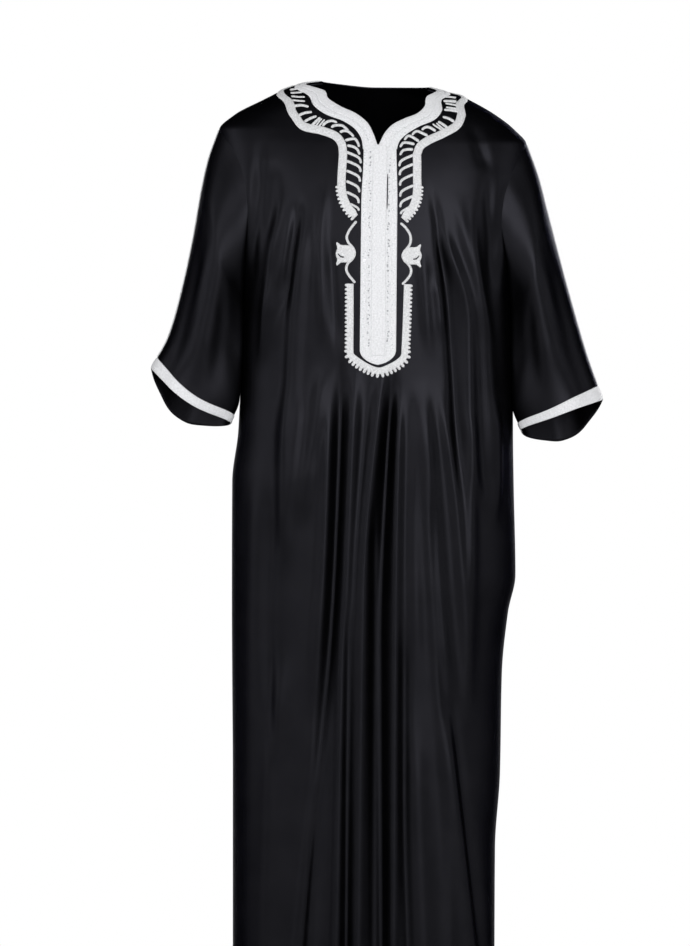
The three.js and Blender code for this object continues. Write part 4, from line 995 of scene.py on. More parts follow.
def sleeve_cloth(side):
    turn = np.linspace(0, 2 * math.pi, 2 * ARMHOLE_STEPS + 1)[:-1]
    angle = math.pi - turn
    at = np.linspace(0, 1, SLEEVE_RINGS + 1)
    points, normals = sleeve_spot(side, angle[None, :], at[:, None])
    edge, edge_normals = armhole_spot(side, angle)
    points[0], normals[0] = edge, edge_normals
    near = mix(points[0], points[1], CLOSE)
    points = np.concatenate([(edge - edge_normals * ALLOWANCE)[None], points[:1], near[None], points[1:]])
    normals = np.concatenate([edge_normals[None], edge_normals[None], normals])
    length = path_lengths(points, 0)
    uv = paired(angle * SLEEVE_ROUND, -length)
    wearer = WEARERS[side]
    piece = mesh_object(f"sleeve_{wearer}_cloth", *open_grid(points, normals, uv, closed=True))
    thicken(piece, CLOTH)
    return finish_piece(piece, SATIN, "satin", f"sleeve_{wearer}")


front_cloth = body_panel("front", FRONT_COLUMNS)
back_cloth = body_panel("back", BACK_COLUMNS)
sleeve_cloths = [sleeve_cloth(side) for side in SIGN]


# ----------------------------------------------------------------------------- the neck's own geometry


DOWN_STEP = 0.5


def below_neckline(angle, distance):
    """The height reached by going a distance down the back from its neckline, in small steps."""
    z = neckline_height("back", angle) + 0 * distance
    gone = np.zeros_like(z)
    last = plain_body("back", angle, z)
    for _ in range(int(distance.max() * 1.1 / DOWN_STEP) + 2):
        lower = np.where(gone < distance, z - DOWN_STEP, z)
        following = plain_body("back", angle, lower)
        gone = gone + np.linalg.norm(following - last, axis=-1)
        z, last = lower, following
    return z


def neck_spot(sign, station, share):
    """Spots round the neck. Station runs from the notch (0) by the shoulder seam (7) to the middle of the
    back (11); share is 0 on the neckline, 1 on the neckband's edge and 2 on the border's middle."""
    station, share = np.broadcast_arrays(np.asarray(station, float), np.asarray(share, float))
    lines = NECK_LINES[sign]
    ahead = np.minimum(station, SHOULDER_STATION)
    inner = share < 1
    part = np.where(inner, share, share - 1)
    places = []
    for neck, band, edge in zip(lines["neck"], lines["band"], lines["edge"]):
        middle = band(ahead)
        places.append(mix(np.where(inner, neck(ahead), middle), np.where(inner, middle, edge(ahead)), part))
    front = body_spot("front", sign * places[0], places[1])
    turn = np.clip((BACK_STATION - station) / (BACK_STATION - SHOULDER_STATION), 0, 1)
    outside = mix(NECKBAND_WIDTH, BORDER_REACH, share - 1)
    distance = np.where(inner, share * NECKBAND_WIDTH, outside)
    angle = sign * turn * RIGHT_ANGLE
    back = body_spot("back", angle, below_neckline(angle, np.maximum(distance, 0)))
    return either(station > SHOULDER_STATION, back, front)


def even_stations(sign, start, end, share, spacing):
    """Stations at even distances along the neck at one share."""
    fine = np.linspace(start, end, 800)
    points = neck_spot(sign, fine, np.full_like(fine, share))[0]
    gone = path_lengths(points, 0)
    count = max(int(round(gone[-1] / spacing)), 1)
    even = np.linspace(0, gone[-1], count + 1)
    return np.interp(even, gone, fine), even


def border_share(sign, station, offset):
    """The share at an offset in millimetres from the border's middle line."""
    outer = neck_spot(sign, station, np.full_like(station, 2.0))[0]
    inner = neck_spot(sign, station, np.full_like(station, 1.0))[0]
    return 2 + offset / np.linalg.norm(outer - inner, axis=-1)


def domed(u, power=3.0):
    """1 in the middle of a strip and 0 at its edges: 1 - |u|^power."""
    return 1 - np.abs(u) ** power


BASE = 0.05  # trims start a hair above the cloth


def curve_places(places, spacing):
    """Even places along a smooth curve (Catmull-Rom) through a list of (x, z)."""
    knots = np.array(places, float)
    padded = np.concatenate([[2 * knots[0] - knots[1]], knots, [2 * knots[-1] - knots[-2]]])
    t = np.linspace(0, len(knots) - 1, 40 * len(knots))
    i = np.minimum(t.astype(int), len(knots) - 2)
    u = (t - i)[:, None]
    a, b, c, d = (padded[i + k] for k in range(4))
    fine = 0.5 * (2 * b + (c - a) * u + (2 * a - 5 * b + 4 * c - d) * u**2 + (3 * b - a - 3 * c + d) * u**3)
    gone = path_lengths(fine, 0)
    count = max(int(round(gone[-1] / spacing)), 2)
    even = np.linspace(0, gone[-1], count + 1)
    return paired(*(np.interp(even, gone, fine[:, k]) for k in (0, 1)))


def plan_sides(places):
    """The direction to the right of a path's travel, in the front view."""
    way = unit(np.gradient(places, axis=0))
    return paired(way[:, 1], -way[:, 0])


def front_ribbon(places, low, high, columns):
    """Spots on the front over a ribbon round a path of (x, z), from low to high to its right."""
    across = np.linspace(0, 1, columns)
    low, high = np.broadcast_to(low, len(places)), np.broadcast_to(high, len(places))
    reach = low[:, None] + (high - low)[:, None] * across
    plan = places[:, None] + plan_sides(places)[:, None] * reach[..., None]
    return on_front(plan[..., 0], plan[..., 1]), reach


def rounded(along, half):
    """Shrinks a bar's half-width to nothing round both of its ends."""
    left = np.clip(np.minimum(along, along[-1] - along) / half, 0.04, 1)
    return np.sqrt(1 - (1 - left) ** 2)


def bar_top(height, u, ends):
    return BASE + 0.1 + height * domed(u, 2.2)[None, :] * ends[:, None]


def bar_data(places, half, height, columns=7, taper=1.0, step=0.8):
    """A raised bar on the front along (x, z) places. Its end is taper times as wide as its start."""
    path = curve_places(places, step)
    along = path_lengths(path, 0)
    wide = half * mix(1, taper, along / along[-1])
    ends = rounded(along, half)
    spots, reach = front_ribbon(path, -wide * ends, wide * ends, columns)
    top = bar_top(height, np.linspace(-1, 1, columns), ends)
    return shell_data(*spots, top, BASE, paired(along[:, None], reach))


def mirrored(sign, places):
    return [(sign * x, z) for x, z in places]


def ribbon(points, normals, wide, u):
    """Spots over a flat ribbon along a path of spots, wide to each side of it."""
    side = unit(np.cross(np.gradient(points, axis=0), normals))
    grid = points[:, None] + side[:, None] * (wide[:, None] * u)[..., None]
    return grid, np.broadcast_to(normals[:, None], grid.shape)


def round_neck(start, share, spacing, shares):
    """Spots in one run round the neck, from a station on one side to the same one on the other, with rows
    at even distances along one share. shares gives each row's own ones."""
    runs = []
    for sign in (-1, 1):
        station, gone = even_stations(sign, start, BACK_STATION, share, spacing)
        runs.append((neck_spot(sign, station[:, None], shares(sign, station)), gone))
    (left, gone), (right, other) = runs
    spots = tuple(np.concatenate([a, b[::-1][1:]]) for a, b in zip(left, right))
    return spots, np.concatenate([gone, gone[-1] + other[1:]])


def pressed(height, at, lines):
    """A height with lines of stitching pressed into it."""
    for line in lines:
        height = height - line["deep"] * np.exp(-(((at - line["at"]) / line["width"]) ** 2))
    return height


LINE_COLUMNS = "at width deep"
NECKBAND_LINES = table(LINE_COLUMNS, [(0.1, 0.035, 0.5), (0.58, 0.035, 0.95), (0.88, 0.035, 0.5)])
NECKBAND_RIB = 3.6


def neckband_piece():
    """A padded band with lines of stitching along its length, and crosswise ribs."""
    columns = np.linspace(0.0, 1.0, 33)
    spots, along = round_neck(0, 0.6, 1.4, lambda sign, station: columns[None, :])
    inside = domed(columns * 2 - 1, 8)
    height = pressed(0.4 + 1.5 * inside, columns, NECKBAND_LINES)
    ribs = 0.13 * np.sin(along[:, None] * 2 * math.pi / NECKBAND_RIB) * inside[None, :]
    uv = paired(along[:, None], NECKBAND_WIDTH * columns[None, :])
    shell = shell_data(*spots, height[None, :] + ribs, BASE, uv)
    return trim("neckband_cloth", [shell], BAND, "band", "neckband")


PLACKET_AT = curves(PLACKET, "z")
BEAD_LINES = (-15.5, 15.5)
STRIP_LINES = (-23.5, 23.5)


PLACKET_PAD = 1.6
PLACKET_LINES = table(LINE_COLUMNS, [(19.3, 0.9, 0.5), (12.4, 0.8, 0.45)])  # beside each strip


TOP_SLOPE = {-1: 0.255, 1: 0.2}  # how fast the placket's upper edge falls off the notch to each side


def placket_spots(z, offset, bottom):
    """Spots across the placket. Its rows follow the neckband's two ends at the top."""
    x = PLACKET_AT["middle"](z)[:, None] + offset
    top = PLACKET_TOP - np.where(x < 0, TOP_SLOPE[-1], TOP_SLOPE[1]) * np.abs(x)
    share = np.clip((z - PLACKET_TOP) / (bottom - PLACKET_TOP), 0, 1)[:, None]
    return on_front(x, np.where(share < 1, mix(top, bottom, share), z[:, None]))


SLIT_TOP = -142.0
SLIT_BOTTOM = -202.0
SLIT_AT = 12.6  # from the placket's middle
SLIT_HALF = 0.75
SLIT_DEEP = 1.2
ROLL = 1.6  # how wide a padded piece's rounded edge is


def slit_open(z):
    """1 along the slit and 0 above and below it."""
    return smooth(SLIT_BOTTOM, SLIT_BOTTOM + 10, z) * (1 - smooth(SLIT_TOP - 10, SLIT_TOP, z))


def placket_piece():
    straight = np.linspace(PLACKET_TOP, PLACKET_BOTTOM, 230)
    end = PLACKET_TIP + (PLACKET_BOTTOM - PLACKET_TIP) * np.linspace(1, 0, 34)[1:] ** 1.6
    z = np.concatenate([straight, end])
    half = np.minimum(PLACKET_AT["half"](z), through(PLACKET_END, "up", "half")(z - PLACKET_TIP))
    u = np.linspace(-1, 1, 71)
    offset = half[:, None] * u
    spots = placket_spots(z, offset, PLACKET_BOTTOM)
    edge = half[:, None] * (1 - np.abs(u))
    tip = (z - PLACKET_TIP)[:, None]
    roll = rolled(np.minimum(edge, tip) / ROLL)
    slit = SLIT_DEEP * slit_open(z)[:, None] * np.exp(-(((offset - SLIT_AT) / 1.0) ** 2))
    top = BASE + 0.05 + pressed(PLACKET_PAD, np.abs(offset), PLACKET_LINES) * roll - slit
    uv = paired(-z[:, None], offset)
    return trim("placket_cloth", [shell_data(*spots, top, BASE, uv)], BAND, "band", "placket")


def slit_piece():
    """A strip of the black satin in the slit beside the overlap. It is partly the black cloth under the
    opening and partly a dark sheet standing in for the opening's shade.
    """
    z = np.linspace(SLIT_TOP - 1, SLIT_BOTTOM + 1, 60)
    u = np.linspace(-1, 1, 7)
    wide = SLIT_HALF * np.sqrt(np.clip(1 - (2 * (z - SLIT_TOP) / (SLIT_BOTTOM - SLIT_TOP) - 1) ** 4, 0.02, 1))
    offset = SLIT_AT + wide[:, None] * u
    spots = placket_spots(z, offset, PLACKET_BOTTOM)
    top = 1.25 + 0.25 * domed(u, 2)[None, :] + 0 * z[:, None]
    uv = paired(-z[:, None], offset)
    return trim("placket_slit", [shell_data(*spots, top, 0.1, uv)], SATIN, "satin")


FLAP_BASE = 1.65
FLAP_HEIGHT = 1.1
FLAP_LIFT = 1.3


def flap_piece():
    """The raised overlap. Its right edge gapes a little over the slit."""
    bottom = PLACKET_BOTTOM - 8
    z = np.linspace(PLACKET_TOP, bottom, 230)
    offset = np.linspace(-FLAP_HALF, FLAP_HALF, 25)
    spots = placket_spots(z, np.broadcast_to(offset, (len(z), len(offset))), bottom)
    side = (FLAP_HALF - np.abs(offset))[None, :] / 1.3
    end = (z - z[-1])[:, None] / 11
    roll = rolled(np.minimum(side, end))
    lift = FLAP_LIFT * slit_open(z)[:, None] * smooth(2, FLAP_HALF, offset)[None, :]
    base = FLAP_BASE + lift
    top = base + 0.05 + FLAP_HEIGHT * roll
    uv = paired(-z[:, None], offset[None, :] + 60)
    return trim("flap_cloth", [shell_data(*spots, top, base, uv)], BAND, "band", "placket_flap")


BALL_RINGS = 6
BALL_CORNERS = 8


def balls_data(spots, height, radius, flat):
    """Small flattened balls on a list of spots."""
    points, normals = spots
    side = unit(np.cross(normals, np.array([0.0, 0.0, 1.0])))
    up = np.cross(side, normals)
    ring = np.linspace(-RIGHT_ANGLE, RIGHT_ANGLE, BALL_RINGS)
    turn = np.linspace(0, 2 * math.pi, BALL_CORNERS + 1)[:-1]
    wide = np.cos(ring)[:, None] * radius[:, None, None]
    high = height + np.sin(ring)[None, :, None] * (radius * flat)[:, None, None] + 0 * turn
    x, y = wide * np.cos(turn), wide * np.sin(turn)
    grid = points[:, None, None] + side[:, None, None] * x[..., None] + up[:, None, None] * y[..., None]
    grid = grid + normals[:, None, None] * high[..., None]
    offsets = BALL_RINGS * BALL_CORNERS * np.arange(len(points))
    faces = (grid_faces(BALL_RINGS, BALL_CORNERS, True)[None] + offsets[:, None, None]).reshape(-1, 4)
    corners = grid.reshape(-1, 3)
    return corners, turned_out(corners, faces), np.zeros((len(corners), 2))


def bead_lines():
    """Two stitched lines of small beads down the placket, uneven in place and size."""
    random = np.random.default_rng(11)
    places = []
    for line in BEAD_LINES:
        z = np.arange(-112, PLACKET_BOTTOM + 6, -4.6)
        z = z[random.random(len(z)) < 0.72]
        z = z + random.uniform(-2.0, 2.0, len(z))
        places.append(np.stack([line + random.uniform(-1.5, 1.5, len(z)), z], axis=-1))
    places = np.concatenate(places)
    spots = on_front(PLACKET_AT["middle"](places[:, 1]) + places[:, 0], places[:, 1])
    radius = random.uniform(0.7, 1.6, len(places))
    return trim("placket_beads", [balls_data(spots, 1.7, radius, 0.8)], BEAD, "band")


PLACKET_SEQUINS = 120
NECK_SEQUINS = 30  # on each side


def sequins():
    """Small bright sequins along the placket's edge strips and scattered on the neckband's front."""
    random = np.random.default_rng(5)
    z = random.uniform(PLACKET_BOTTOM + 4, -108, PLACKET_SEQUINS)
    line = np.where(random.random(len(z)) < 0.5, *STRIP_LINES) + random.uniform(-2.6, 2.6, len(z))
    groups = [on_front(PLACKET_AT["middle"](z) + line, z)]
    for sign in (-1, 1):
        station = random.uniform(0.6, 4.5, NECK_SEQUINS)
        groups.append(neck_spot(sign, station, random.uniform(0.15, 0.9, NECK_SEQUINS)))
    points, normals = (np.concatenate(parts) for parts in zip(*groups))
    tilt = random.normal(0, 0.22, normals.shape)
    radius = random.uniform(0.8, 1.3, len(points))
    spots = (points + normals * 1.75, unit(normals + tilt))
    return trim("neck_sequins", [balls_data(spots, 0.0, radius, 0.3)], SEQUIN, "band")


# ----------------------------------------------------------------------------------- the embroidery

TAIL_TEETH_BELOW = -164.0
TOOTH_PITCH = 5.7
BAND_EDGE = 0.3  # height of a band's edges
BORDER_HEIGHT = 1.5
BORDER_COLUMNS = 13
STITCH_PITCH = 1.9
STITCH_GROOVE = 0.25
COMB_HEIGHT = 1.3
COMB_GROOVE = 0.3


def stitched_top(along, u, height, pitch, groove):
    """The top of a domed band of threads laid side by side across it, with narrow grooves between them."""
    ridges = -groove * np.abs(np.cos(along * math.pi / pitch)) ** 8
    return BAND_EDGE + height * domed(u, 3.5)[None, :] + ridges[:, None] * domed(u, 8)[None, :]


def border_line(sign):
    """The border's middle on the front in one run, from the tail's end to the shoulder: its places in the
    front view, its stations round the neck (0 on the tail) and how far along each place is."""
    tail = curve_places(mirrored(sign, LADDER_TAIL[side_of(sign)]), 1.1)[::-1][:-1]
    station, _ = even_stations(sign, 0, SHOULDER_STATION, 2.0, 1.1)
    points, _ = neck_spot(sign, station, np.full_like(station, 2.0))
    places = np.concatenate([tail, points[:, [0, 2]]])
    stations = np.concatenate([np.zeros(len(tail)), station])
    solid = np.concatenate([on_front(tail[:, 0], tail[:, 1])[0], points])
    return places, stations, path_lengths(solid, 0)


def softened(values, count):
    """A moving average down the rows, with the end rows repeated."""
    padded = np.concatenate([values[:1].repeat(count, 0), values, values[-1:].repeat(count, 0)])
    sums = np.cumsum(np.concatenate([0 * padded[:1], padded]), axis=0)
    return (sums[2 * count + 1 :] - sums[: -2 * count - 1]) / (2 * count + 1)


def border_data(sign):
    """The outer border on the front: satin stitch across its width. Its rows go straight across its middle
    line, and over the shoulder along the lines round the neck."""
    places, stations, along = border_line(sign)
    u = np.linspace(-1, 1, BORDER_COLUMNS)
    wide = BORDER_HALF * mix(0.6, 1, smooth(0, 9, along))
    sides = unit(softened(plan_sides(places), 6))
    plan = places[:, None] + sides[:, None] * (sign * wide[:, None] * u)[..., None]
    low = on_front(plan[..., 0], np.minimum(plan[..., 1], SECTIONS[-1]["z"]))
    share = border_share(sign, stations[:, None] + 0 * u, BORDER_HALF * u[None, :])
    high = neck_spot(sign, stations[:, None] + 0 * u, share)
    over = smooth(4.2, 5.6, stations)[:, None, None]
    points, normals = mix(low[0], high[0], over), unit(mix(low[1], high[1], over))
    top = stitched_top(along, u, BORDER_HEIGHT, STITCH_PITCH, STITCH_GROOVE)
    uv = paired(along[:, None], BORDER_HALF * u[None, :])
    return shell_data(points, normals, top, BASE, uv)


def teeth_data(path, low, high, pitch, half, height, start=0.0, longer=None):
    """Rounded comb teeth set across a path, from low to high to its right, one each pitch."""
    along = path_lengths(path, 0)
    count = max(int(round((along[-1] - 2 * start) / pitch)), 1)
    middles = np.linspace(start, along[-1] - start, count + 1)
    sides = plan_sides(path)
    parts = []
    for middle in middles:
        spot = np.array([np.interp(middle, along, path[:, k]) for k in (0, 1)])
        side = unit(np.array([np.interp(middle, along, sides[:, k]) for k in (0, 1)]))
        reach = high if longer is None else high * longer(spot)
        tooth = [spot + side * low, spot + side * reach]
        parts.append(bar_data(tooth, half, height, taper=0.8, step=0.9))
    return parts


RUNG_HALF = 2.3
RUNG_TAPER = 0.85
RUNG_HEIGHT = 1.35
RUNG_LONGER = 2.2


def straight_rung(sign, start, z):
    end = float(PLACKET_AT["half"](z) + sign * PLACKET_AT["middle"](z)) + RUNG_GAP
    places = [(sign * mix(start, end, share), z + down) for share, down in RUNG_SHAPE]
    return bar_data(places, RUNG_HALF, RUNG_HEIGHT, taper=RUNG_TAPER)


def curved_rung(sign, places):
    """A rung through its places, its inner end drawn out a little further the same way."""
    last, before = np.array(places[-1]), np.array(places[-2])
    longer = places + [tuple(last + RUNG_LONGER * unit(last - before))]
    return bar_data(mirrored(sign, longer), RUNG_HALF, RUNG_HEIGHT, taper=RUNG_TAPER)


def ladder_piece(sign, wearer):
    side = side_of(sign)
    rungs = STRAIGHT_RUNGS[side]
    parts = [border_data(sign)]
    parts += [straight_rung(sign, rungs["start"], z) for z in rungs["heights"]]
    parts.append(bar_data(mirrored(sign, LAST_RUNG[side]), 1.8, 1.2))
    parts += [curved_rung(sign, rung) for rung in CURVED_RUNGS[side]]
    parts += [bar_data(mirrored(sign, rung), 1.5, 1.0, taper=0.9) for rung in FINE_RUNGS[side]]
    tail = curve_places(mirrored(sign, LADDER_TAIL[side]), 1.0)
    tail = tail[tail[:, 1] < TAIL_TEETH_BELOW]
    parts += teeth_data(tail, -sign * 3.5, -sign * 10.2, TOOTH_PITCH, 2.55, 1.3, start=2.2)
    return trim(f"ladder_{wearer}_thread", parts, BRAID, "braid", f"ladder_{wearer}")


BACK_RUNGS = 10  # on each side
BACK_RUNG_HEIGHT = 1.3
BACK_RUNG = [(-0.05, 1.8), (0, 1.45), (0.09, 1.17)]  # its way from the border: stations and shares


def back_ladder_piece():
    """The border and its rungs round the back of the neck, from shoulder seam to shoulder seam."""
    u = np.linspace(-1, 1, BORDER_COLUMNS)

    def shares(sign, station):
        return border_share(sign, station[:, None] + 0 * u, BORDER_HALF * u[None, :])

    spots, along = round_neck(SHOULDER_STATION, 2.0, 1.1, shares)
    top = stitched_top(along, u, BORDER_HEIGHT, STITCH_PITCH, STITCH_GROOVE)
    parts = [shell_data(*spots, top, BASE, paired(along[:, None], BORDER_HALF * u[None, :]))]
    half_turn = np.linspace(SHOULDER_STATION + 0.2, BACK_STATION - 0.16, BACK_RUNGS)
    for sign in (-1, 1):
        for station in half_turn:
            parts.append(neck_bar(sign, [(station + off, share) for off, share in BACK_RUNG]))
    return trim("ladder_back_thread", parts, BRAID, "braid", "ladder_back")


def neck_bar(sign, places):
    """A bar along places of (station, share) round the neck."""
    path = curve_places(places, 0.04)
    points, normals = neck_spot(sign, path[:, 0], path[:, 1])
    along = path_lengths(points, 0)
    ends = rounded(along, RUNG_HALF)
    u = np.linspace(-1, 1, 7)
    spots = ribbon(points, normals, RUNG_HALF * ends, u)
    uv = paired(along[:, None], RUNG_HALF * u[None, :])
    return shell_data(*spots, bar_top(BACK_RUNG_HEIGHT, u, ends), BASE, uv)


# The upper half of a rosette's outline from its outer side by the ear to the placket's side (x is outwards
# from its middle). The stitches leave a hooked gap in its lower half and two dimples in its upper one.
ROSETTE_OUTLINE = [
    (15.6, 0), (14.6, 4.5), (12.8, 8.2), (13.3, 12), (14.8, 16.6), (13.6, 19.2), (10.6, 16.9), (7.6, 14.4),
    (3, 13.8), (-3, 13.8), (-9, 13), (-13.4, 9), (-16.2, 4), (-17, 0),
]
ROSETTE_POLE = 6.4
ROSETTE_HEIGHT = 1.7
ROSETTE_THREADS = 40
GAP_COLUMNS = "x z radius deep"
ROSETTE_HOOK = table(GAP_COLUMNS, [
    (10.8, -0.6, 1.2, 1.5), (9.4, -2.7, 1.4, 1.5), (7.2, -4.5, 1.5, 1.5), (4.8, -5.2, 1.4, 1.5),
    (2.6, -5.3, 1.1, 1.5),
])
ROSETTE_DIMPLES = table(GAP_COLUMNS, [(5.2, 6.0, 1.7, 1.1), (-4.7, 6.4, 1.5, 0.9)])


def rosette_data(sign):
    """A round of satin stitch with two pointed ears: rings of points from a pole out to its outline."""
    cx, cz = ROSETTES[side_of(sign)]
    outline = np.array(ROSETTE_OUTLINE, float)
    angles = np.degrees(np.arctan2(outline[:, 1], outline[:, 0] - ROSETTE_POLE))
    reaches = np.hypot(outline[:, 0] - ROSETTE_POLE, outline[:, 1])
    degrees = np.linspace(-180, 180, 181)[:-1]
    outer = np.interp(np.abs(degrees), angles, reaches)
    radius = outer[None, :] * np.linspace(0.01, 1, 24)[:, None]
    x = ROSETTE_POLE + radius * np.cos(np.radians(degrees))
    y = radius * np.sin(np.radians(degrees))
    roll = rolled((outer[None, :] - radius) / ROLL)
    threads = 0.12 * np.sin(np.radians(degrees) * ROSETTE_THREADS)[None, :]
    height = ROSETTE_HEIGHT + threads * smooth(3, 7, radius)
    for gap in ROSETTE_HOOK + ROSETTE_DIMPLES:
        far = np.hypot(x - gap["x"], y - gap["z"]) / gap["radius"]
        height = height - gap["deep"] * np.exp(-(far**2) * 0.8)
    spots = on_front(sign * (cx + x), cz + y)
    return shell_data(*spots, BASE + 0.05 + height * roll, BASE, paired(x, y), closed=True)


def rosette_gaps(sign, wearer):
    """Bare cloth at the bottom of a rosette's hooked gap."""
    cx, cz = ROSETTES[side_of(sign)]
    x, z, radius = (np.array([gap[name] for gap in ROSETTE_HOOK]) for name in ("x", "z", "radius"))
    balls = balls_data(on_front(sign * (cx + x), cz + z), 0.7, radius, 0.35)
    return trim(f"scroll_{wearer}_gaps", [balls], SATIN, "satin")


def scroll_piece(sign, wearer):
    parts = [rosette_data(sign), bar_data(mirrored(sign, STEMS[side_of(sign)]), 2.1, 1.6, columns=9)]
    return trim(f"scroll_{wearer}_thread", parts, BRAID, "braid", f"scroll_{wearer}")


def comb_piece():
    """A band of stitches round the placket's point, with teeth on its outer edge that open at the bottom."""
    path = curve_places(COMB_LINE, 1.1)
    along = path_lengths(path, 0)
    u = np.linspace(-1, 1, 11)
    spots, reach = front_ribbon(path, -COMB_HALF - 1.6, COMB_HALF - 1.2, 11)
    top = stitched_top(along, u, COMB_HEIGHT, COMB_PITCH / 3, COMB_GROOVE)
    uv = paired(along[:, None], reach)
    parts = [shell_data(*spots, top, BASE, uv)]

    def longer(spot):
        return 1 + 0.34 * float(smooth(-420, -448, spot[1]))

    parts += teeth_data(path, -1.0, 7.4, COMB_PITCH, 2.95, 1.5, start=2.4, longer=longer)
    return trim("comb_border_thread", parts, BRAID, "braid", "comb_border")


# -------------------------------------------------------------------------------- cuffs and their cords


def sleeve_length(side):
    ends = sleeve_point(side, np.array([RIGHT_ANGLE] * 2), np.array([0.9, 1.0]))
    return np.linalg.norm(ends[1] - ends[0]) / 0.1


CUFF_LINES = table(LINE_COLUMNS, [(0.2, 0.05, 0.35), (0.8, 0.05, 0.35)])
CUFF_RIBS = 72


def cuff_piece(side, wearer):
    """A band round the cuff's outside with rolled edges and two lines of stitching."""
    turn = np.linspace(0, 2 * math.pi, 241)[:-1]
    across = np.linspace(0, 1, 17)
    at = 1 - CUFF_BAND / sleeve_length(side) * (1 - across)
    spots = sleeve_spot(side, math.pi - turn[None, :], at[:, None])
    inside = domed(across * 2 - 1, 6)
    height = pressed(0.35 + 1.3 * inside, across, CUFF_LINES)
    ribs = 0.16 * np.sin(turn * CUFF_RIBS)[None, :] * inside[:, None]
    uv = paired(turn[None, :] * SLEEVE_ROUND, CUFF_BAND * across[:, None])
    shell = shell_data(*spots, height[:, None] + ribs, BASE, uv, closed=True)
    return trim(f"cuff_{wearer}_band", [shell], BAND, "band", f"cuff_band_{wearer}")


# The first cord's angle from the over-arm line, in degrees, from the armhole (0) to the cuff (1).
CORD_LINES = {
    "left": [(0.0, -3), (0.3, -2), (0.5, 1), (0.75, 6), (1.0, 3)],
    "right": [(0.0, -5), (0.5, -7), (1.0, -8)],
}
CORD_STEP = 5.5  # degrees from one cord to the next
CORD_HALF = 1.35
CORD_TWIST = 2.6


def cord_piece(side, wearer, number):
    """A round cord sewn down the sleeve near its over-arm line. Its angle wanders as the sleeve turns."""
    line = table("at angle", [(at, angle - CORD_STEP * (number - 1)) for at, angle in CORD_LINES[side]])
    at = np.linspace(0.0, 1 - CUFF_BAND / sleeve_length(side) - 0.004, 240)
    angle = np.radians(through(line, "at", "angle")(at))
    points, normals = sleeve_spot(side, angle, at)
    along = path_lengths(points, 0)
    u = np.linspace(-1, 1, 9)
    spots = ribbon(points, normals, np.full(len(along), CORD_HALF), u)
    twist = 0.16 * np.sin((along[:, None] + 1.2 * u[None, :]) * 2 * math.pi / CORD_TWIST)
    top = 0.2 + (1.5 + twist) * np.sqrt(np.clip(1 - u**2, 0, 1))[None, :]
    uv = paired(along[:, None], CORD_HALF * u[None, :])
    shell = shell_data(*spots, top, BASE, uv)
    return trim(f"cord_{wearer}_{number}", [shell], CORD, "cord", f"sleeve_cord_{wearer}_{number}")


neckband_piece()
placket_piece()
slit_piece()
flap_piece()
bead_lines()
sequins()
back_ladder_piece()
comb_piece()
for seen_side, wearer_side in WEARERS.items():
    for make in (ladder_piece, scroll_piece, rosette_gaps):
        make(SIGN[seen_side], wearer_side)
    cuff_piece(seen_side, wearer_side)
    for cord_number in (1, 2):
        cord_piece(seen_side, wearer_side, cord_number)


# ------------------------------------------------------------------------------------ camera and light

CAMERA_X = -0.053
CAMERA_Z = -0.626
CAMERA_DISTANCE = 30.0
PIXELS_PER_METRE = 620.0
IMAGE_HEIGHT = 946.0
SENSOR = 36.0
FLOOR_Z = -1.5


def camera():
    data = bpy.data.cameras.new("camera")
    data.sensor_width = SENSOR
    data.lens = PIXELS_PER_METRE * CAMERA_DISTANCE * SENSOR / IMAGE_HEIGHT
    data.clip_end = 100
    eye = bpy.data.objects.new("camera", data)
    eye.location = (CAMERA_X, -CAMERA_DISTANCE, CAMERA_Z)
    eye.rotation_euler = (RIGHT_ANGLE, 0, 0)
    bpy.context.scene.collection.objects.link(eye)
    bpy.context.scene.camera = eye


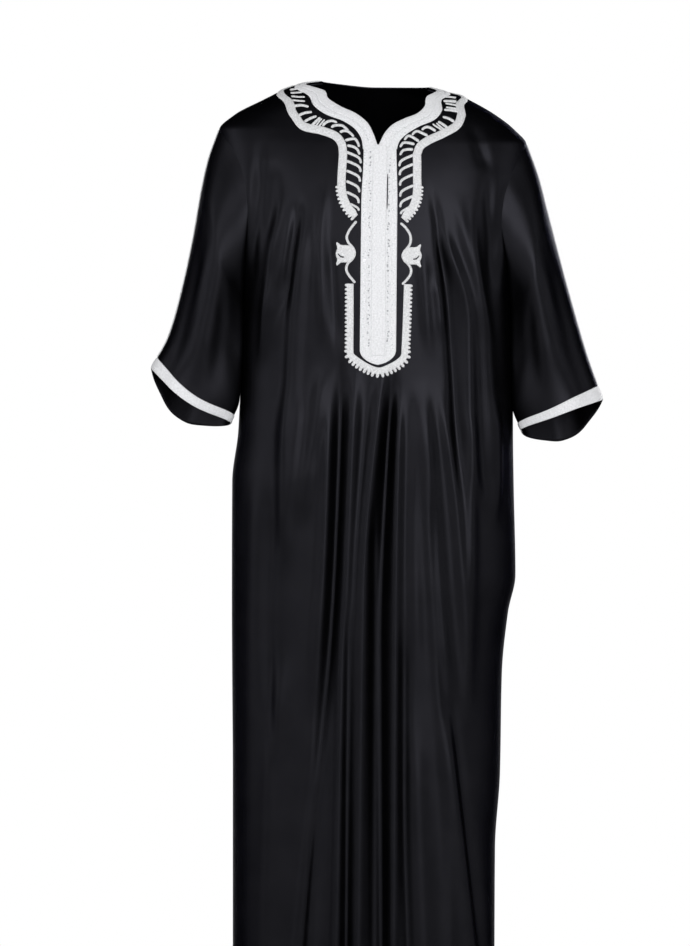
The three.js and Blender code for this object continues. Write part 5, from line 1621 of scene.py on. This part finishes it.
def area_light(name, place, aim, width, height, power):
    data = bpy.data.lights.new(name, "AREA")
    data.shape = "RECTANGLE"
    data.size, data.size_y, data.energy = width, height, power
    light = bpy.data.objects.new(name, data)
    light.location = place
    way = np.array(aim, float) - np.array(place, float)
    turn = math.atan2(way[0], -way[1]) if abs(way[0]) + abs(way[1]) > 1e-6 else 0
    tilt = math.atan2(math.hypot(way[0], way[1]), -way[2])
    light.rotation_euler = (tilt, 0, math.pi + turn)
    bpy.context.scene.collection.objects.link(light)


FLOOR_REACH = 2.4  # its far edge stays out of the front view


def floor():
    """A plain pale floor below the garment."""
    ends = (-FLOOR_REACH, FLOOR_REACH)
    points = np.array([[x, y, FLOOR_Z] for y in ends for x in ends]) / MM
    piece = mesh_object("studio_floor", points, grid_faces(2, 2))
    material = principled("pale_floor", Base_Color=(0.9, 0.9, 0.9, 1), Roughness=0.9)[0]
    piece.data.materials.append(material)


# The studio's walls by the height of the direction (-1 down, 0 level, 1 up): white round the horizon, dark
# above it, so that the satin stays black, and pale near the floor.
WALL_SHADES = [(0.0, 0.3), (0.44, 0.3), (0.47, 1.0), (0.54, 1.0), (0.58, 0.1), (1.0, 0.1)]


def world():
    studio = bpy.data.worlds.new("studio")
    bpy.context.scene.world = studio
    studio.use_nodes = True
    tree = studio.node_tree
    way = tree.nodes.new("ShaderNodeTexCoord").outputs["Object"]
    height = scaled(tree, parts_of(tree, way)[2], 0.5, 0.5)
    shades = tree.nodes.new("ShaderNodeValToRGB")
    while len(shades.color_ramp.elements) < len(WALL_SHADES):
        shades.color_ramp.elements.new(0.5)
    for element, (position, shade) in zip(shades.color_ramp.elements, WALL_SHADES):
        element.position = position
        element.color = (shade, shade, shade, 1)
    tree.links.new(height, shades.inputs[0])
    tree.links.new(shades.outputs[0], tree.nodes["Background"].inputs["Color"])


camera()
world()
floor()
area_light("key", (1.2, -3.5, 0.5), (0, 0, -0.6), 0.7, 1.8, 82)
area_light("fill", (-1.9, -3.2, 0.6), (0, 0, -0.5), 0.6, 1.8, 42)
area_light("side_left", (-3.5, -0.8, 0.5), (0, 0, -0.5), 0.9, 2.4, 32)
area_light("side_right", (3.5, -0.8, 0.5), (0, 0, -0.5), 0.9, 2.4, 18)
area_light("top", (0, -1.2, 2.6), (0, 0, -0.3), 1.6, 1.2, 9)
area_light("rim", (1.6, 3.2, 0.8), (0, 0, -0.6), 1.2, 2.6, 80)
bpy.context.scene.view_settings.view_transform = "Standard"
